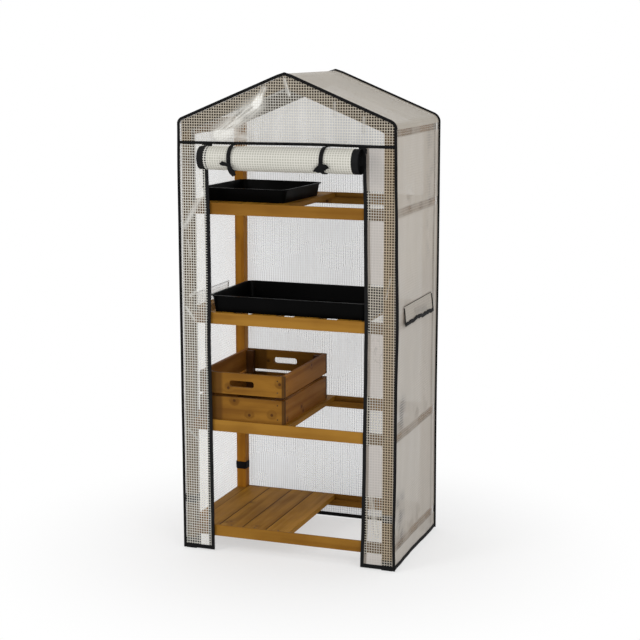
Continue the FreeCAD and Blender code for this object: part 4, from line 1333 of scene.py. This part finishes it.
def lay_net(side):
    low, high = WINDOW_Z
    return lambda y, z: (side * (WALL - 0.0004 * math.sin(math.pi * (z - low) / (high - low))), y, z)


nets = join("vent_nets_sewn", [
    face_out(cloth(f"net_{side}", steps(*WINDOW_Y, 24), steps(*WINDOW_Z, 4), lay_net(side)), (side, 0, 0))
    for side in (-1, 1)])
dress(nets, insect_net_finish(), "root", "insect_net", "vent_nets")

# %% [markdown]
# ## Straps round the posts
# A webbing strap at the foot of each post keeps the cover down. It is a closed band round the post, sewn
# to a small pad on the wall film.

# %% Straps
STRAP_Z, STRAP_HALF, STRAP_CORNER = 0.154, 0.0160, 0.0045


def strap(side, y):
    x, inset = side * 0.310, STRAP_HALF - STRAP_CORNER
    ring = []
    for qx, qy, start in ((1, 1, 0), (-1, 1, 90), (-1, -1, 180), (1, -1, 270)):
        for i in range(6):
            a = math.radians(start + 90 * i / 5)
            ring.append((x + qx * inset + STRAP_CORNER * math.cos(a),
                         y + qy * inset + STRAP_CORNER * math.sin(a)))
    band = tape(f"strap_{side}_{y}", ring, width=0.0238, thickness=0.0019, plane="xy", at=STRAP_Z,
                closed=True)
    pad = block(f"pad_{side}_{y}", (0.0043, 0.018, 0.0232), edge=0.0010, segments=2,
                place=(side * 0.32835, y, STRAP_Z))
    bpy.ops.object.shade_smooth_by_angle(angle=math.radians(40))
    return [band, pad]


straps = join("post_straps_sewn", sum([strap(side, y) for side in (-1, 1) for y in (-0.1581, 0.2359)], []))
dress(straps, webbing_finish, "root", "black_webbing", "post_straps")

# %% [markdown]
# ## The end panels' height and area
# The loop below works out the end panels' height and area and keeps neither. The body's cut has two windows
# in it, the end panels are five-sided, and the door is as long as its spiral and the hanging part together.

for panel, low in ((front_gable, HEADER), (rear_panel, BOTTOM)):
    RIDGE - low
    area_of(panel) * 0.999

# %% [markdown]
# ## Floor and light
# A pale floor keeps the object's shadow near it and fades into plain white further out. One large soft
# lamp stands to the left of the camera, a weaker one lights the right side, and the world fills the rest.

# %% Floor
let_go()
bpy.ops.mesh.primitive_plane_add(size=60, location=(0, 0, 0))
floor = bpy.context.object
floor.name = "floor"
g = Finish("floor")
fx, fy, fz = g.xyz()
away = (fx * fx + fy * fy) ** 0.5
near = g.node("ShaderNodeBsdfDiffuse", {}, {"Color": (0.94, 0.94, 0.94)})
far = g.node("ShaderNodeEmission", {}, {"Color": (1.0, 1.0, 1.0), "Strength": 1.0})
fade = away.between(0.25, 1.05, 0.55, 1.0) * g.seen_directly()
floor.data.materials.append(g.close(g.node("ShaderNodeMixShader", {}, {0: fade, 1: near, 2: far})))

# %% Light
world = bpy.data.worlds.new("studio")
bpy.context.scene.world = world
sky = Finish("studio", world)
brightness = sky.seen_directly() * 0.32 + 0.68          # plain white to look at, weaker as a light
sky.close(sky.node("ShaderNodeBackground", {}, {"Color": (1.0, 1.0, 1.0), "Strength": brightness}))


def soft_lamp(name, place, size, power):
    """a round lamp that looks at the middle of the greenhouse"""
    let_go()
    bpy.ops.object.light_add(type="AREA", location=place)
    lamp = bpy.context.object
    lamp.name = name
    lamp.data.shape, lamp.data.size, lamp.data.energy = "DISK", size, power
    lamp.rotation_euler = (Vector((0, 0, 0.7)) - Vector(place)).to_track_quat("-Z", "Y").to_euler()


soft_lamp("key_lamp", (-2.2, -3.2, 2.9), 1.5, 42)
soft_lamp("side_lamp", (2.7, -3.0, 1.8), 2.2, 34)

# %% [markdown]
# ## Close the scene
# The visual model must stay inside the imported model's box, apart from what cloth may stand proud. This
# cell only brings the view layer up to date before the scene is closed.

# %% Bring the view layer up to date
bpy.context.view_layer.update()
